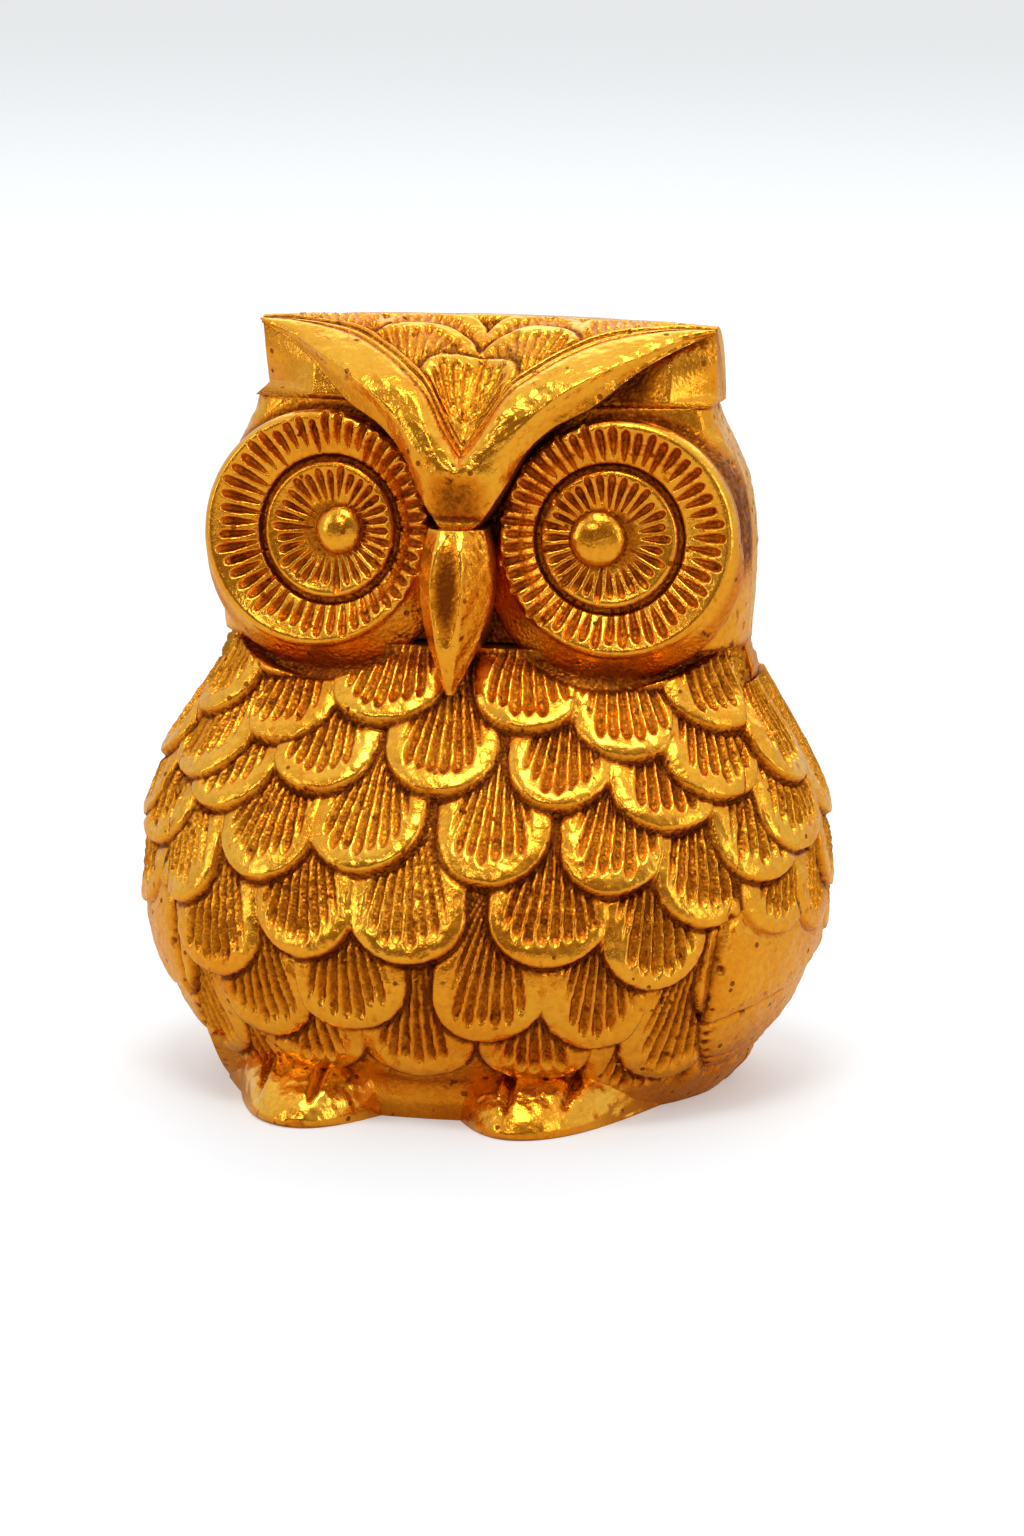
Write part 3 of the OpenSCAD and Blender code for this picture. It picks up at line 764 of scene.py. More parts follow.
def build_wing(side):
    """A wing: short coverts above, two smooth long feathers below, on a leaf over the body."""
    name = "wing_left" if side > 0 else "wing_right"
    span = WING_HIGH - WING_LOW
    u, v = joined((0, 1, 224)), joined((0, 1, 288))
    z = WING_LOW + span * u
    first, last = wing_edge(z, 1), wing_edge(z, 2)
    vv, zz = np.meshgrid(v, z)
    phi = first[:, None] + (last - first)[:, None] * v
    uu = (zz - WING_LOW) / span
    base = body_point(phi * side, zz)
    # The coverts carry on from the rows of the belly. They are made on a plain grid of angles,
    # and read back on the leaf's own.
    fine_phi = joined((20, 165, 560)) if side > 0 else joined((-165, -20, 560))
    fine = body_point(*np.meshgrid(fine_phi, z))
    column = (phi * side - fine_phi[0]) / (fine_phi[-1] - fine_phi[0]) * (len(fine_phi) - 1)
    j = np.clip(column.astype(int), 0, len(fine_phi) - 2)
    f = np.clip(column - j, 0, 1)
    line = np.arange(len(z))[:, None]
    height, patina_and_shade, cover = (table[line, j] * (1 - f) + table[line, j + 1] * f for table in
                             chase(fine, fine_phi, z, WING_ROWS, BODY_LOOK, 11))
    lobes = (1 - cover) * (1 - step(zz, 26, 29))
    smooth_h, smooth_p = wing_lobes(base, phi, zz)
    height = height * (1 - lobes) + smooth_h * lobes
    patina_and_shade = patina_and_shade * (1 - lobes) + smooth_p * lobes
    # The leaf rises a little towards its middle, with a pitted groove along the lower front.
    arc = (last - first)[:, None] * math.pi / 180 * 36
    ahead, behind = vv * arc, (1 - vv) * arc
    rim = np.minimum(np.minimum(ahead, behind), np.minimum(uu, 1 - uu) * span)
    lens = 1 - np.exp(-rim / 3.0)
    lower_front = 1 - step(zz, 19, 24)
    rng = np.random.default_rng(47)
    spots = [(body_point(np.array((e + rng.uniform(0.3, 2.5)) * side), np.array(q)),
              rng.uniform(0.6, 1.5))
             for q, e in zip(z[6:120:6], first[6:120:6]) if rng.uniform() < 0.8]
    dips, dark = pit_row(base, spots, 0.28, 0.4)
    groove = bell(ahead, 0.8) * (0.10 + 0.60 * lower_front) + 0.3 * bell(behind, 0.6)
    height = height * bpy.context.scene.owl_sizes.relief + 0.45 * lens * (0.3 + 0.7 * lower_front)
    height += dips - groove - 0.4 * bell(uu * span, 0.8) + waviness(base)
    patina_and_shade = np.maximum(patina_and_shade, np.maximum(dark, 1.4 * groove))
    normals = grid_normals(base, BODY_MIDDLE)
    outer = base + normals * np.clip(height, -0.75, 1.3)[..., None]
    outer[..., 2] = np.maximum(outer[..., 2], 0.4)
    widest = box_mm("wing_left")[1][0] - 0.05
    outer[..., 0] = np.clip(outer[..., 0], -widest, widest)
    inner = coarse(base) - coarse(normals) * 0.95
    add_piece(name + "_feathers", name, "feathered_brass", closed_shell(outer, inner, patina_and_shade))


def build_tail():
    """The tail: three long feathers with their shafts, on a leaf over the lower back."""
    u, v = joined((0, 1, 96)), joined((0, 1, 96))
    z = TAIL_LOW + (TAIL_HIGH - TAIL_LOW) * u
    half = smooth_at(TAIL_STATIONS, z, 2)[:, None]
    vv, zz = np.meshgrid(v, z)
    base = body_point(180 + half * (2 * v - 1), zz)
    from_end = np.minimum(u, 1 - u)[:, None] * 25
    rim = np.minimum(np.minimum(vv, 1 - vv) * half * 2 * 0.48, from_end)
    lens = 1 - np.exp(-rim / 1.2)
    # The feathers spread towards the tips, and each point knows its distance from a shaft.
    spread = 3.2 + 0.12 * (TAIL_HIGH - zz)
    d = np.abs(base[..., 0] - np.round(base[..., 0] / spread) * spread)
    shaft, cleft = bell(d, 0.35), bell(d - spread / 2, 0.4)
    barbs = 0.5 + 0.5 * np.sin((zz + d * 1.1) * 2 * math.pi / 1.3)
    height = 0.16 * shaft - 0.34 * cleft - 0.16 * barbs * (1 - shaft) * (1 - cleft)
    patina_and_shade = np.maximum(cleft * 0.9, 0.5 * (1 - barbs) * (1 - shaft)) + 0.1
    patina_and_shade = np.maximum(patina_and_shade, 0.7 * np.exp(-rim / 0.5))
    body = 0.5 + (0.65 + height) * lens
    normals = grid_normals(base, (0, SIDE_Y, 15))
    outer = base + normals * (0.12 + body)[..., None]
    outer[..., 1] = np.minimum(outer[..., 1], box_mm("tail")[1][1])
    inner = coarse(base) + coarse(normals) * 0.05
    add_piece("tail_feathers", "tail", "feathered_brass",
              closed_shell(outer, inner, np.clip(patina_and_shade, 0, 1)))


# --- crown, brow and beak -----------------------------------------------------------------

EDGE_Y, HORN_Y, EDGE_DROP, BULGE = 5.9, 3.0, 0.3, 0.9
V_GAP = (0.4, 0.15)
# Feathers of the crown, the front one last: distance of the tips up the plate, then where each
# lies across, half width, and length from tip to where its flutes meet.
CROWN_ROWS = [(26.0, (-23, -11.8, -0.6, 10.6, 22), 5.8, 16), (21.5, (-17.5, -6.2, 5.2, 16.5), 5.8, 15),
              (17.4, (-6.4, 5.4), 6.0, 13), (13.0, (-0.4,), 5.5, 11)]


def horn_cut(x, z):
    """How far the corners of the horns are cut back: a slanting facet, broad at its foot."""
    crest = smooth_at(BROW_STATIONS, np.abs(x), 4)
    drop = np.clip((crest - z) / np.maximum(crest - SEAM_Z, 1.0), 0, 1)
    strip = np.where(x < 0, 7.0, 4.5)
    return 0.85 * np.maximum(0, np.abs(x) - HORN_W + strip) * drop * (crest > SEAM_Z)


def crown_feathers(across, up):
    """Height and patina, with painted shadow under each row's edge, of the crown's feathers, by distance
    across and up the plate.
    """
    rng = np.random.default_rng(61)
    height, patina_and_shade = np.full(across.shape, -0.4), np.full(across.shape, 0.5)
    for at, centres, half, fan in CROWN_ROWS:
        look = dict(CROWN_LOOK, fan=fan)
        row = empty_row(across.shape)
        for centre in centres:
            u, v = across - centre - rng.uniform(-.3, .3), at - up
            inside = tip_inside(u, v, half, 4.2)
            cut = flutes(u, v, inside, rng, look)
            lay_beside(row, ..., inside, feather_height(u, v, inside, cut, half, look), 0.6 * cut**0.8)
        height, patina_and_shade = lay_over(height, patina_and_shade, row, look)
    return height, patina_and_shade


def build_crown_cap():
    """The crown: a plate of small feathers above the V, then a dome down to the seam."""
    xs = HORN_W * np.sin(np.linspace(-math.pi / 2, math.pi / 2, 281))
    column = xs[:, None]
    y0 = smooth_at(BROW_STATIONS, np.abs(xs), 1) + V_GAP[0]
    z0 = smooth_at(BROW_STATIONS, np.abs(xs), 2) + V_GAP[1]
    k = (xs / HORN_W) ** 2
    y1 = HORN_Y + (EDGE_Y - HORN_Y) * (1 - k)
    z1 = OWL_H - EDGE_DROP * k
    s = np.linspace(0, 1, 141)[None, :]
    rise = (BULGE * np.minimum(1, (y1 - y0) / 10))[:, None] * np.sin(np.pi * s)
    y = y0[:, None] + (y1 - y0)[:, None] * s - rise
    z = z0[:, None] + (z1 - z0)[:, None] * s + rise
    plate = stacked(column, y, z)
    cap_back = SIDE_Y + NAPE * .75 * share(xs, CAP_W, NAPE_POWER)
    q = np.linspace(0, math.pi / 2, 64)[1:][None, :]
    dome_y = y1[:, None] + (cap_back - y1)[:, None] * np.sin(q)
    dome_z = SEAM_Z + (z1 - SEAM_Z)[:, None] * np.cos(q)
    dome = stacked(column, dome_y, dome_z)
    cap_front = cap_front_at(xs)
    low = z0 < SEAM_Z
    toe_y = np.where(low, face_at(xs, z0) - 0.05, (cap_front + y0) / 2)
    toe_z = np.where(low, z0, (SEAM_Z + z0) / 2)
    t = np.linspace(0, 1, 9)[1:][None, :]
    under = stacked(column, cap_back[:, None] + (cap_front - cap_back)[:, None] * t, SEAM_Z)
    t = np.linspace(0, 1, 7)[1:][None, :]
    riser = stacked(column, cap_front[:, None] + (toe_y - cap_front)[:, None] * t,
                    SEAM_Z + (toe_z - SEAM_Z)[:, None] * t)
    riser[..., 1] += horn_cut(riser[..., 0], riser[..., 2])
    across = plate[..., 0]
    run, climb = EDGE_Y - y0.min(), OWL_H - z0.min()
    up = ((plate[..., 1] - y0.min()) * run + (plate[..., 2] - z0.min()) * climb) / np.hypot(run, climb)
    height, patina_and_shade = crown_feathers(across, up)
    from_v = s * np.hypot(y1 - y0, z1 - z0)[:, None]
    calm = np.minimum(step(from_v, 1.0, 1.5), 1 - step(s, 0.95, 0.995))
    calm = calm * (1 - step(np.abs(across), HORN_W - 3.5, HORN_W - 1.2))
    band = bell(from_v - 1.15, 0.3) * (1 - step(np.abs(across), 22, 25))
    seam = bell(from_v - 0.15, 0.25)
    height = height * calm - 0.22 * band - 0.2 * seam + waviness(plate)
    patina_and_shade = np.maximum(patina_and_shade * calm, np.maximum(0.8 * band, 0.8 * seam)) + 0.08 * (1 - calm)
    plate = plate + grid_normals(plate, (0, 6, 70)) * np.minimum(height, 0.3)[..., None]
    plate[..., 2] = np.minimum(plate[..., 2], OWL_H)
    # The back of the horns and the dome are lightly fluted.
    dome_h = 0.12 * ripple(dome, 6.0, 63) - 0.25 * (0.5 + 0.5 * np.sin(dome[..., 0] * 2.4)) * step(
        dome_z, SEAM_Z + 1, SEAM_Z + 3) * (1 - step(dome_z, OWL_H - 3, OWL_H - 1))
    dome_h = dome_h * (1 - step(np.abs(dome[..., 0]), HORN_W - 3, HORN_W - 1)) * step(
        dome_z, SEAM_Z, SEAM_Z + 1.5)
    dome = dome + grid_normals(dome, (0, 0, 70)) * np.minimum(dome_h, 0)[..., None]
    # Painted dark reflection: the front of the left horn is painted dark next to the brow.
    stain_and_shade = 0.06 + 0.85 * (column > 0) * (1 - step(riser[..., 0], HORN_W - 8, HORN_W - 4.2))
    rings = np.concatenate([plate, dome, under, riser], 1)
    shade = np.concatenate([patina_and_shade, np.clip(-dome_h * 2.2, 0, 1) + 0.1,
                            np.ones(under.shape[:2]) * 0.4, stain_and_shade], 1)
    add_piece("crown_plate", "crown_cap", "feathered_brass", loft(rings, np.clip(shade, 0, 1)))


def build_brow():
    """The brow: a V with a bead along its upper line, a full rounded front and a hollow below."""
    xs = HORN_W * np.sin(np.linspace(-math.pi / 2, math.pi / 2, 321))
    c = [smooth_at(BROW_STATIONS, np.abs(xs), i) for i in range(1, 7)]
    cap_front = cap_front_at(xs)

    def rest_at(z):
        """Y of the head or crown behind the brow."""
        plate_y, plate_z = c[0] + V_GAP[0], c[1] + V_GAP[1]
        s = np.minimum(1, (z - SEAM_Z) / np.where(plate_z > SEAM_Z, plate_z - SEAM_Z, 1))
        return np.where(z < SEAM_Z, face_at(xs, z), cap_front + (plate_y - cap_front) * s) - 0.05

    corners = [(c[0], c[1]), (c[2], c[3]), (c[4], c[5]),
               (np.maximum(c[4] + 0.3, rest_at(c[5])), c[5]), (rest_at(c[1] - 0.05), c[1] - 0.05)]
    centred = 1 - step(np.abs(xs), 4, 13)[:, None]
    # Each facet bows out or in: how far in Y by the V's foot and everywhere, then in Z.
    bows = [(0.7, 0.22, 0.4, 0.2), (0.5, -0.3, 0, 0), (0, 0, 0, 0), (0, 0, 0, 0), (0, 0, 0, 0)]
    parts, facets = [], []
    for n, (steps, a, b, bow) in enumerate(zip((64, 48, 6, 12, 6), corners,
                                               corners[1:] + corners[:1], bows)):
        t = np.linspace(0, 1, steps, endpoint=False)[None, :]
        y = between(a[0], b[0], t) - (bow[0] * centred + bow[1]) * np.sin(np.pi * t)
        z = between(a[1], b[1], t) + (bow[2] * centred + bow[3]) * np.sin(np.pi * t)
        parts.append(stacked(xs[:, None], y, z))
        facets.append(np.broadcast_to(n + t, y.shape))
    raw, facet = np.concatenate(parts, 1), np.concatenate(facets, 1)
    # The front edge is well rounded near the V's foot, and crisper out on the arms.
    front = (bell(facet - 1, 0.55) * (1 - step(np.abs(xs), 6, 15))[:, None])[..., None]
    rings = corner_blend(raw, 7) * front + corner_blend(raw, 2) * (1 - front)
    x, z = rings[..., 0], rings[..., 2]
    # A bead and a groove along the upper line.
    line = bell(facet - 0.13, 0.05) * (1 - step(np.abs(x), 22, 26))
    # The bridge: a hollow between the arms of the V, with a ledge over the beak.
    bridge = np.exp(-(x / 3.1) ** 4 - ((z - 67.2) / 2.9) ** 4)
    ledge = bell(z - 65.2, 0.35) * bell(x, 4.0)
    sunk = 0.30 * line + 0.85 * bridge + 0.35 * ledge + 1.5 * waviness(rings)
    rings[..., 1] += sunk + horn_cut(x, z)
    # Painted shade: out on the arms the lower part of the front is a little darker, and the underside
    # and back of the brow are painted dark. The groove, the bridge and the ledge hold patina.
    low = step(facet, 1.25, 1.7) * (facet < 2.6)
    patina_and_shade = 0.05 + 0.25 * low * step(np.abs(x), 5, 12) + 0.75 * line + 0.75 * bridge + 0.6 * ledge
    patina_and_shade = np.where(facet > 1.93, 0.9, patina_and_shade)
    add_piece("brow_ridge", "brow", "polished_brass", loft(rings, np.clip(patina_and_shade, 0, 1)))


def build_beak():
    """The beak: a leaf with a pale bevel on one side, a hollow middle painted dark as a dark reflection,
    and a rough flank.
    """
    tip_z, top_z = BEAK_LO[2], BEAK_HI[2] + 0.8
    half = BEAK_HI[0]
    front_y = BEAK_LO[1]
    s = np.linspace(0, 1, 150)
    z = tip_z + s * (top_z - tip_z)
    w = half * smooth_at(BEAK_STATIONS, s, 1)
    ridge = front_y + smooth_at(BEAK_STATIONS, s, 2)
    edge = front_y + smooth_at(BEAK_STATIONS, s, 3)
    wall = np.where(z < NECK_Z, belly_at(0 * z, np.minimum(z, NECK_Z)), face_y(z)) - 0.12
    back = np.maximum(edge + 0.3, wall)
    corners = [(-w * .45, ridge), (-w, edge), (-w * .8, back), (w * .8, back), (w, edge),
               (w * .34, ridge + 0.2)]
    parts = []
    for steps, a, b in zip((26, 10, 10, 10, 26, 26), corners, corners[1:] + corners[:1]):
        t = np.linspace(0, 1, steps, endpoint=False)[None, :]
        parts.append(stacked(between(a[0], b[0], t), between(a[1], b[1], t), z[:, None]))
    rings = corner_blend(np.concatenate(parts, 1), 2)
    x, y = rings[..., 0], rings[..., 1]
    ss = np.broadcast_to(s[:, None], x.shape)
    ahead = y < np.broadcast_to(edge[:, None], y.shape)
    wide = np.maximum(w, 0.4)[:, None]
    oval = ((x / wide + 0.06) / 0.40) ** 2 + ((ss - 0.64) / 0.34) ** 2
    hollow = np.clip(1.15 * (1 - oval), 0, 1) ** 0.7 * ahead
    flank = step(x / wide, 0.30, 0.5) * ahead
    rough = (0.10 * ripple(rings, 1.6, 81) + 0.05) * flank
    rings[..., 1] += 0.55 * hollow + rough + waviness(rings) * ahead
    # Painted dark reflection: the hollow is painted dark. The flank holds some patina, the back is
    # darker, and so is the tip.
    patina_and_shade = hollow + 0.38 * flank + 0.6 * (1 - ahead) + 0.15 * (1 - step(ss, 0.0, 0.1))
    add_piece("beak_leaf", "beak", "polished_brass", loft(rings, np.clip(patina_and_shade, 0, 1)))


# --- eyes ---------------------------------------------------------------------------------

def gouge_tree():
    """Geometry Nodes: leaf-shaped gouges cut in a ring round a disc, then moved to the eye."""
    tree = bpy.data.node_groups.new("eye_gouges", "GeometryNodeTree")
    face = tree.interface
    face.new_socket("Geometry", in_out="INPUT", socket_type="NodeSocketGeometry")
    for name, kind in (("Count", "Float"), ("Inner radius", "Float"), ("Outer radius", "Float"),
                       ("Depth", "Float"), ("Width", "Float"), ("Seed", "Float"), ("Shift", "Vector"),
                       ("Place", "Vector"), ("Turn", "Vector"), ("Finish", "Material")):
        face.new_socket(name, in_out="INPUT", socket_type="NodeSocket" + kind)
    face.new_socket("Geometry", in_out="OUTPUT", socket_type="NodeSocketGeometry")
    t = Tree(tree)
    given = t.add("NodeGroupInput").outputs
    spot = t.add("ShaderNodeSeparateXYZ", t.add("GeometryNodeInputPosition").outputs[0]).outputs
    apart = t.add("ShaderNodeSeparateXYZ", given["Shift"]).outputs
    x = t.math("SUBTRACT", spot[0], apart[0])
    y = t.math("SUBTRACT", spot[1], apart[1])
    radius = t.math("SQRT", t.math("ADD", t.math("MULTIPLY", x, x), t.math("MULTIPLY", y, y)))
    turn = t.math("DIVIDE", t.math("ARCTAN2", y, x), 2 * math.pi)
    # The number of the nearest gouge, and the distance from its middle in gouges.
    q = t.math("MULTIPLY", t.math("ADD", turn, 0.5), given["Count"])
    nearest = t.math("ROUND", q)
    whole = t.math("FLOOR", t.math("MODULO", t.math("ADD", nearest, 0.01), given["Count"]))
    f = t.math("ABSOLUTE", t.math("SUBTRACT", q, nearest))

    def chance(shift):
        """A value from -0.5 to 0.5 of each gouge's own."""
        pair = t.add("ShaderNodeCombineXYZ", t.math("ADD", whole, shift), given["Seed"])
        made = t.add("ShaderNodeTexWhiteNoise")
        made.noise_dimensions = "2D"
        t.put(made.inputs["Vector"], pair.outputs[0])
        return t.math("SUBTRACT", made.outputs["Value"], 0.5)

    span = t.math("SUBTRACT", given["Outer radius"], given["Inner radius"])
    inner = t.math("MULTIPLY_ADD", t.math("MULTIPLY", chance(0.0), 0.42), span, given["Inner radius"])
    outer = t.math("MULTIPLY_ADD", t.math("MULTIPLY", chance(90.0), 0.28), span, given["Outer radius"])
    s = t.math("DIVIDE", t.math("SUBTRACT", radius, inner), t.math("SUBTRACT", outer, inner))
    s = t.math("MINIMUM", t.math("MAXIMUM", s, 0.0), 1.0)
    blunt = t.math("SQRT", t.math("SUBTRACT", 1.0, t.math("POWER", s, 5.0)))
    leaf = t.math("MULTIPLY", t.math("POWER", s, 0.45), blunt)
    fat = t.math("MULTIPLY_ADD", chance(180.0), 0.18, 1.0)
    half = t.math("MAXIMUM", t.math("MULTIPLY", t.math("MULTIPLY", leaf, given["Width"]), fat), 0.001)
    ratio = t.math("DIVIDE", f, half)
    bowl = t.math("SUBTRACT", 1.0, t.math("MULTIPLY", ratio, ratio))
    bowl = t.math("SQRT", t.math("MAXIMUM", bowl, 0.0))
    deep = t.math("MULTIPLY", bowl, t.math("MINIMUM", t.math("MULTIPLY", leaf, 1.25), 1.0))
    # Only the upper side of a disc is cut.
    floor = t.math("MULTIPLY", given["Depth"], -8.0)
    deep = t.math("MULTIPLY", deep, t.math("GREATER_THAN", spot[2], floor))
    sunk = t.math("MULTIPLY", t.math("MULTIPLY", deep, given["Depth"]), -1.0)
    offset = t.add("ShaderNodeCombineXYZ", 0.0, 0.0, sunk)
    moved = t.add("GeometryNodeSetPosition", Geometry=given["Geometry"], Offset=offset.outputs[0])
    known = t.add("GeometryNodeInputNamedAttribute", Name="patina_and_shade")
    stain_and_shade = t.math("MULTIPLY", t.math("POWER", deep, 1.3), 0.85)
    stored = t.add("GeometryNodeStoreNamedAttribute", Geometry=moved.outputs[0], Name="patina_and_shade")
    value = [i for i in stored.inputs if i.name == "Value" and i.enabled][0]
    t.put(value, t.math("MAXIMUM", stain_and_shade, known.outputs[0]))
    there = t.add("GeometryNodeTransform", Geometry=stored.outputs[0], Translation=given["Place"],
                  Rotation=given["Turn"])
    real = t.add("GeometryNodeRealizeInstances", there.outputs[0])
    dressed = t.add("GeometryNodeSetMaterial", Geometry=real.outputs[0], Material=given["Finish"])
    t.add("NodeGroupOutput", dressed.outputs[0])
    return tree


def turned_disc(name, profile, patina_and_shade_of, turns, inputs, kind, node, flare=0.0, off=0.0):
    """A turned disc cut by the gouge tree, and set in place at its eye.

    Its wall may flare below, and its dish may lie off its centre.
    """
    points, faces = revolve(profile, turns)
    radius = np.hypot(points[:, 0], points[:, 1])
    stain_and_shade = patina_and_shade_of(radius, points[:, 2])
    down = np.clip(-points[:, 1] / np.maximum(radius, 1e-6), 0, 1) ** 0.7
    inward = 1 + 1.3 * np.clip(points[:, 0] * np.sign(off) / np.maximum(radius, 1e-6), 0, 1)
    grown = 1 + flare * inward * down * step(-points[:, 2], 0.5, 3.4) * step(radius, *DISC_WALL) / EYE_R
    points[:, :2] *= grown[:, None]
    points[:, 0] += off * (1 - step(radius, 8.4, 12.0)) * (points[:, 2] > -3.5)
    raw = make_piece(name + "_blank", points, faces, [], stain_and_shade, kind)
    tree = bpy.data.node_groups.get("eye_gouges") or gouge_tree()
    modifier = raw.modifiers.new("gouges", "NODES")
    modifier.node_group = tree
    names = {i.name: i.identifier for i in tree.interface.items_tree if i.in_out == "INPUT"}
    for key, value in dict(inputs, Finish=brass(kind)).items():
        modifier[names[key]] = value
    mesh = bpy.data.meshes.new_from_object(raw.evaluated_get(bpy.context.evaluated_depsgraph_get()))
    mesh.name = name
    mesh.polygons.foreach_set("use_smooth", np.ones(len(mesh.polygons), bool))
    piece = bpy.data.objects.new(name, mesh)
    bpy.context.scene.collection.objects.link(piece)
    bpy.data.objects.remove(raw)
    place(piece, node)


def fill_profile(corners, gap):
    """A profile through corners, with points every gap millimetres."""
    out = [corners[0]]
    for a, b in zip(corners, corners[1:]):
        n = max(1, int(math.hypot(b[0] - a[0], b[1] - a[1]) / gap))
        for k in range(1, n + 1):
            out.append((a[0] + (b[0] - a[0]) * k / n, a[1] + (b[1] - a[1]) * k / n))
    return out


def rounded(profile, width):
    """Softens the corners of a profile, its two ends kept."""
    p = np.array(profile)
    padded = np.concatenate([[p[0]] * width, p, [p[-1]] * width])
    kernel = np.exp(-(np.arange(-width, width + 1) / (0.6 * width)) ** 2)
    kernel /= kernel.sum()
    soft = np.stack([np.convolve(padded[:, q], kernel, "valid") for q in range(2)], 1)
    soft[0], soft[-1] = p[0], p[-1]
    soft[:, 0] = np.maximum(soft[:, 0], 1e-3)
    soft[0, 0] = soft[-1, 0] = 0
    return [tuple(q) for q in soft]


def eye_matrix(side):
    """Turn of an eye from lying flat to facing ahead."""
    c, s = math.cos(side * EYE_SPLAY), math.sin(side * EYE_SPLAY)
    splay = np.array([[c, -s, 0], [s, c, 0], [0, 0, 1]])
    tip = math.pi / 2 - EYE_TILT
    lean = np.array([[1, 0, 0], [0, math.cos(tip), -math.sin(tip)], [0, math.sin(tip), math.cos(tip)]])
    return splay @ lean


def eye_place(side, shift, lift):
    """Where a disc's own origin goes, in metres, and how it is turned."""
    turn = (math.pi / 2 - EYE_TILT, 0.0, side * EYE_SPLAY)
    right = np.array([math.cos(side * EYE_SPLAY), math.sin(side * EYE_SPLAY), 0])
    axis = np.array([side * EYE_AXIS[0], EYE_AXIS[1], EYE_AXIS[2]])
    at = np.array([side * EYE[0], EYE[1], EYE[2]]) + right * (-side * shift) + axis * lift
    return tuple(float(v) * MM for v in at), turn


# Profiles: radius and height below or above each disc's own origin, from pole to pole.
SEAT_R = IRIS_R + 0.75
DISC_PROFILE = [
    (0, -4.15), (EYE_R - 0.4, -4.15), (EYE_R, -3.6), (EYE_R, -1.1), (EYE_R - 0.4, -0.35),
    (EYE_R - 0.9, 0), (EYE_R - 1.35, -0.12), (EYE_R - 2.4, -0.6), (10.2, -1.2), (9.1, -1.8),
    (SEAT_R, -2.15), (SEAT_R - 0.1, -2.75), (SEAT_R - 0.3, -3.0), (0, -3.0)]
IRIS_PROFILE = [
    (0, 0), (IRIS_R - 0.1, 0), (IRIS_R, 0.2), (IRIS_R, 0.75), (IRIS_R - 0.3, 1.12),
    (IRIS_R - 0.65, 1.18), (IRIS_R - 1.1, 1.05), (5.2, 0.78), (3.9, 0.5), (3.2, 0.38),
    (2.6, 0.38), (0, 0.38)]
SHANK_PROFILE = [(0, -6.2), (1.6, -6.2), (2.0, -5.9), (2.0, -5.4), (1.2, -5.4), (1.2, 0)]
IRIS_LIFT, PUPIL_LIFT, DOME_H = -2.95, -2.19, 1.7


def disc_patina_and_shade(radius, z):
    """Painted shade on the back part of the disc's wall, and dark patina in the trough round its iris.
    """
    # Painted shade on the back part of the wall.
    wall = 0.6 * step(-z, 0.7, 2.0) * step(radius, *DISC_WALL)
    trough = 1 - step(radius, 8.2, 8.8)
    return np.clip(0.04 + 0.7 * wall + 0.75 * trough, 0, 1)


def iris_patina(radius, z):
    """Dark on the iris disc's wall and round the pupil."""
    trough = 1 - step(radius, 2.9, 3.4)
    wall = step(radius, 7.45, 7.65)
    return np.clip(0.04 + 0.6 * trough + 0.5 * wall * (z < 0.9), 0, 1)


def build_pupil(side, word):
    """A rivet: a shank through both discs, and a domed button a little wider on the left."""
    button = PUPIL_R + (0.6 if side > 0 else 0.2)
    dome = [(button * math.cos(a) ** 0.85, 0.25 + 1.45 * math.sin(a) ** 1.3)
            for a in np.linspace(0, math.pi / 2, 26)]
    dome[-1] = (0, DOME_H)
    points, faces = revolve(SHANK_PROFILE + [(button - 0.1, -0.02)] + dome, 96)
    radius = np.hypot(points[:, 0], points[:, 1])
    stain_and_shade = 0.05 + 0.75 * step(radius, button - 0.55, button - 0.12)
    at, _ = eye_place(side, PUPIL_IN, PUPIL_LIFT)
    points = points @ eye_matrix(side).T + np.array(at) / MM
    add_piece("pupil_" + word, "pupil_rivet_" + word, "polished_brass", (points, faces, [], stain_and_shade))


def build_eyes():
    """Two dished discs, an iris disc in each, and a domed rivet for each pupil."""
    sizes = bpy.context.scene.owl_sizes
    for side, word, disc_seed, iris_seed in ((1, "left", 3.0, 5.0), (-1, "right", 8.0, 6.0)):
        at, turn = eye_place(side, 0, 0)
        disc = rounded(fill_profile(DISC_PROFILE, 0.16), 2)
        turned_disc("eye_ring_" + word, disc, disc_patina_and_shade, 480, {
            "Place": at, "Turn": turn, "Seed": disc_seed, "Count": float(sizes.outer_gouges),
            "Depth": 0.95 * MM, "Width": 0.44, "Shift": (-0.75 * side * MM, 0.4 * MM, 0.0),
            "Inner radius": 8.35 * MM, "Outer radius": 12.35 * MM,
        }, "engraved_brass", "eye_disc_" + word, 2.1, -IRIS_IN * side)
        at, turn = eye_place(side, IRIS_IN, IRIS_LIFT)
        iris = rounded(fill_profile(IRIS_PROFILE, 0.13), 2)
        turned_disc("iris_ring_" + word, iris, iris_patina, 360, {
            "Place": at, "Turn": turn, "Seed": iris_seed, "Count": float(sizes.inner_gouges),
            "Depth": 0.65 * MM, "Width": 0.44, "Shift": (-0.5 * side * MM, 0.1 * MM, 0.0),
            "Inner radius": 3.2 * MM, "Outer radius": 6.95 * MM,
        }, "engraved_brass", "iris_disc_" + word)
        build_pupil(side, word)


# --- feet and base ------------------------------------------------------------------------

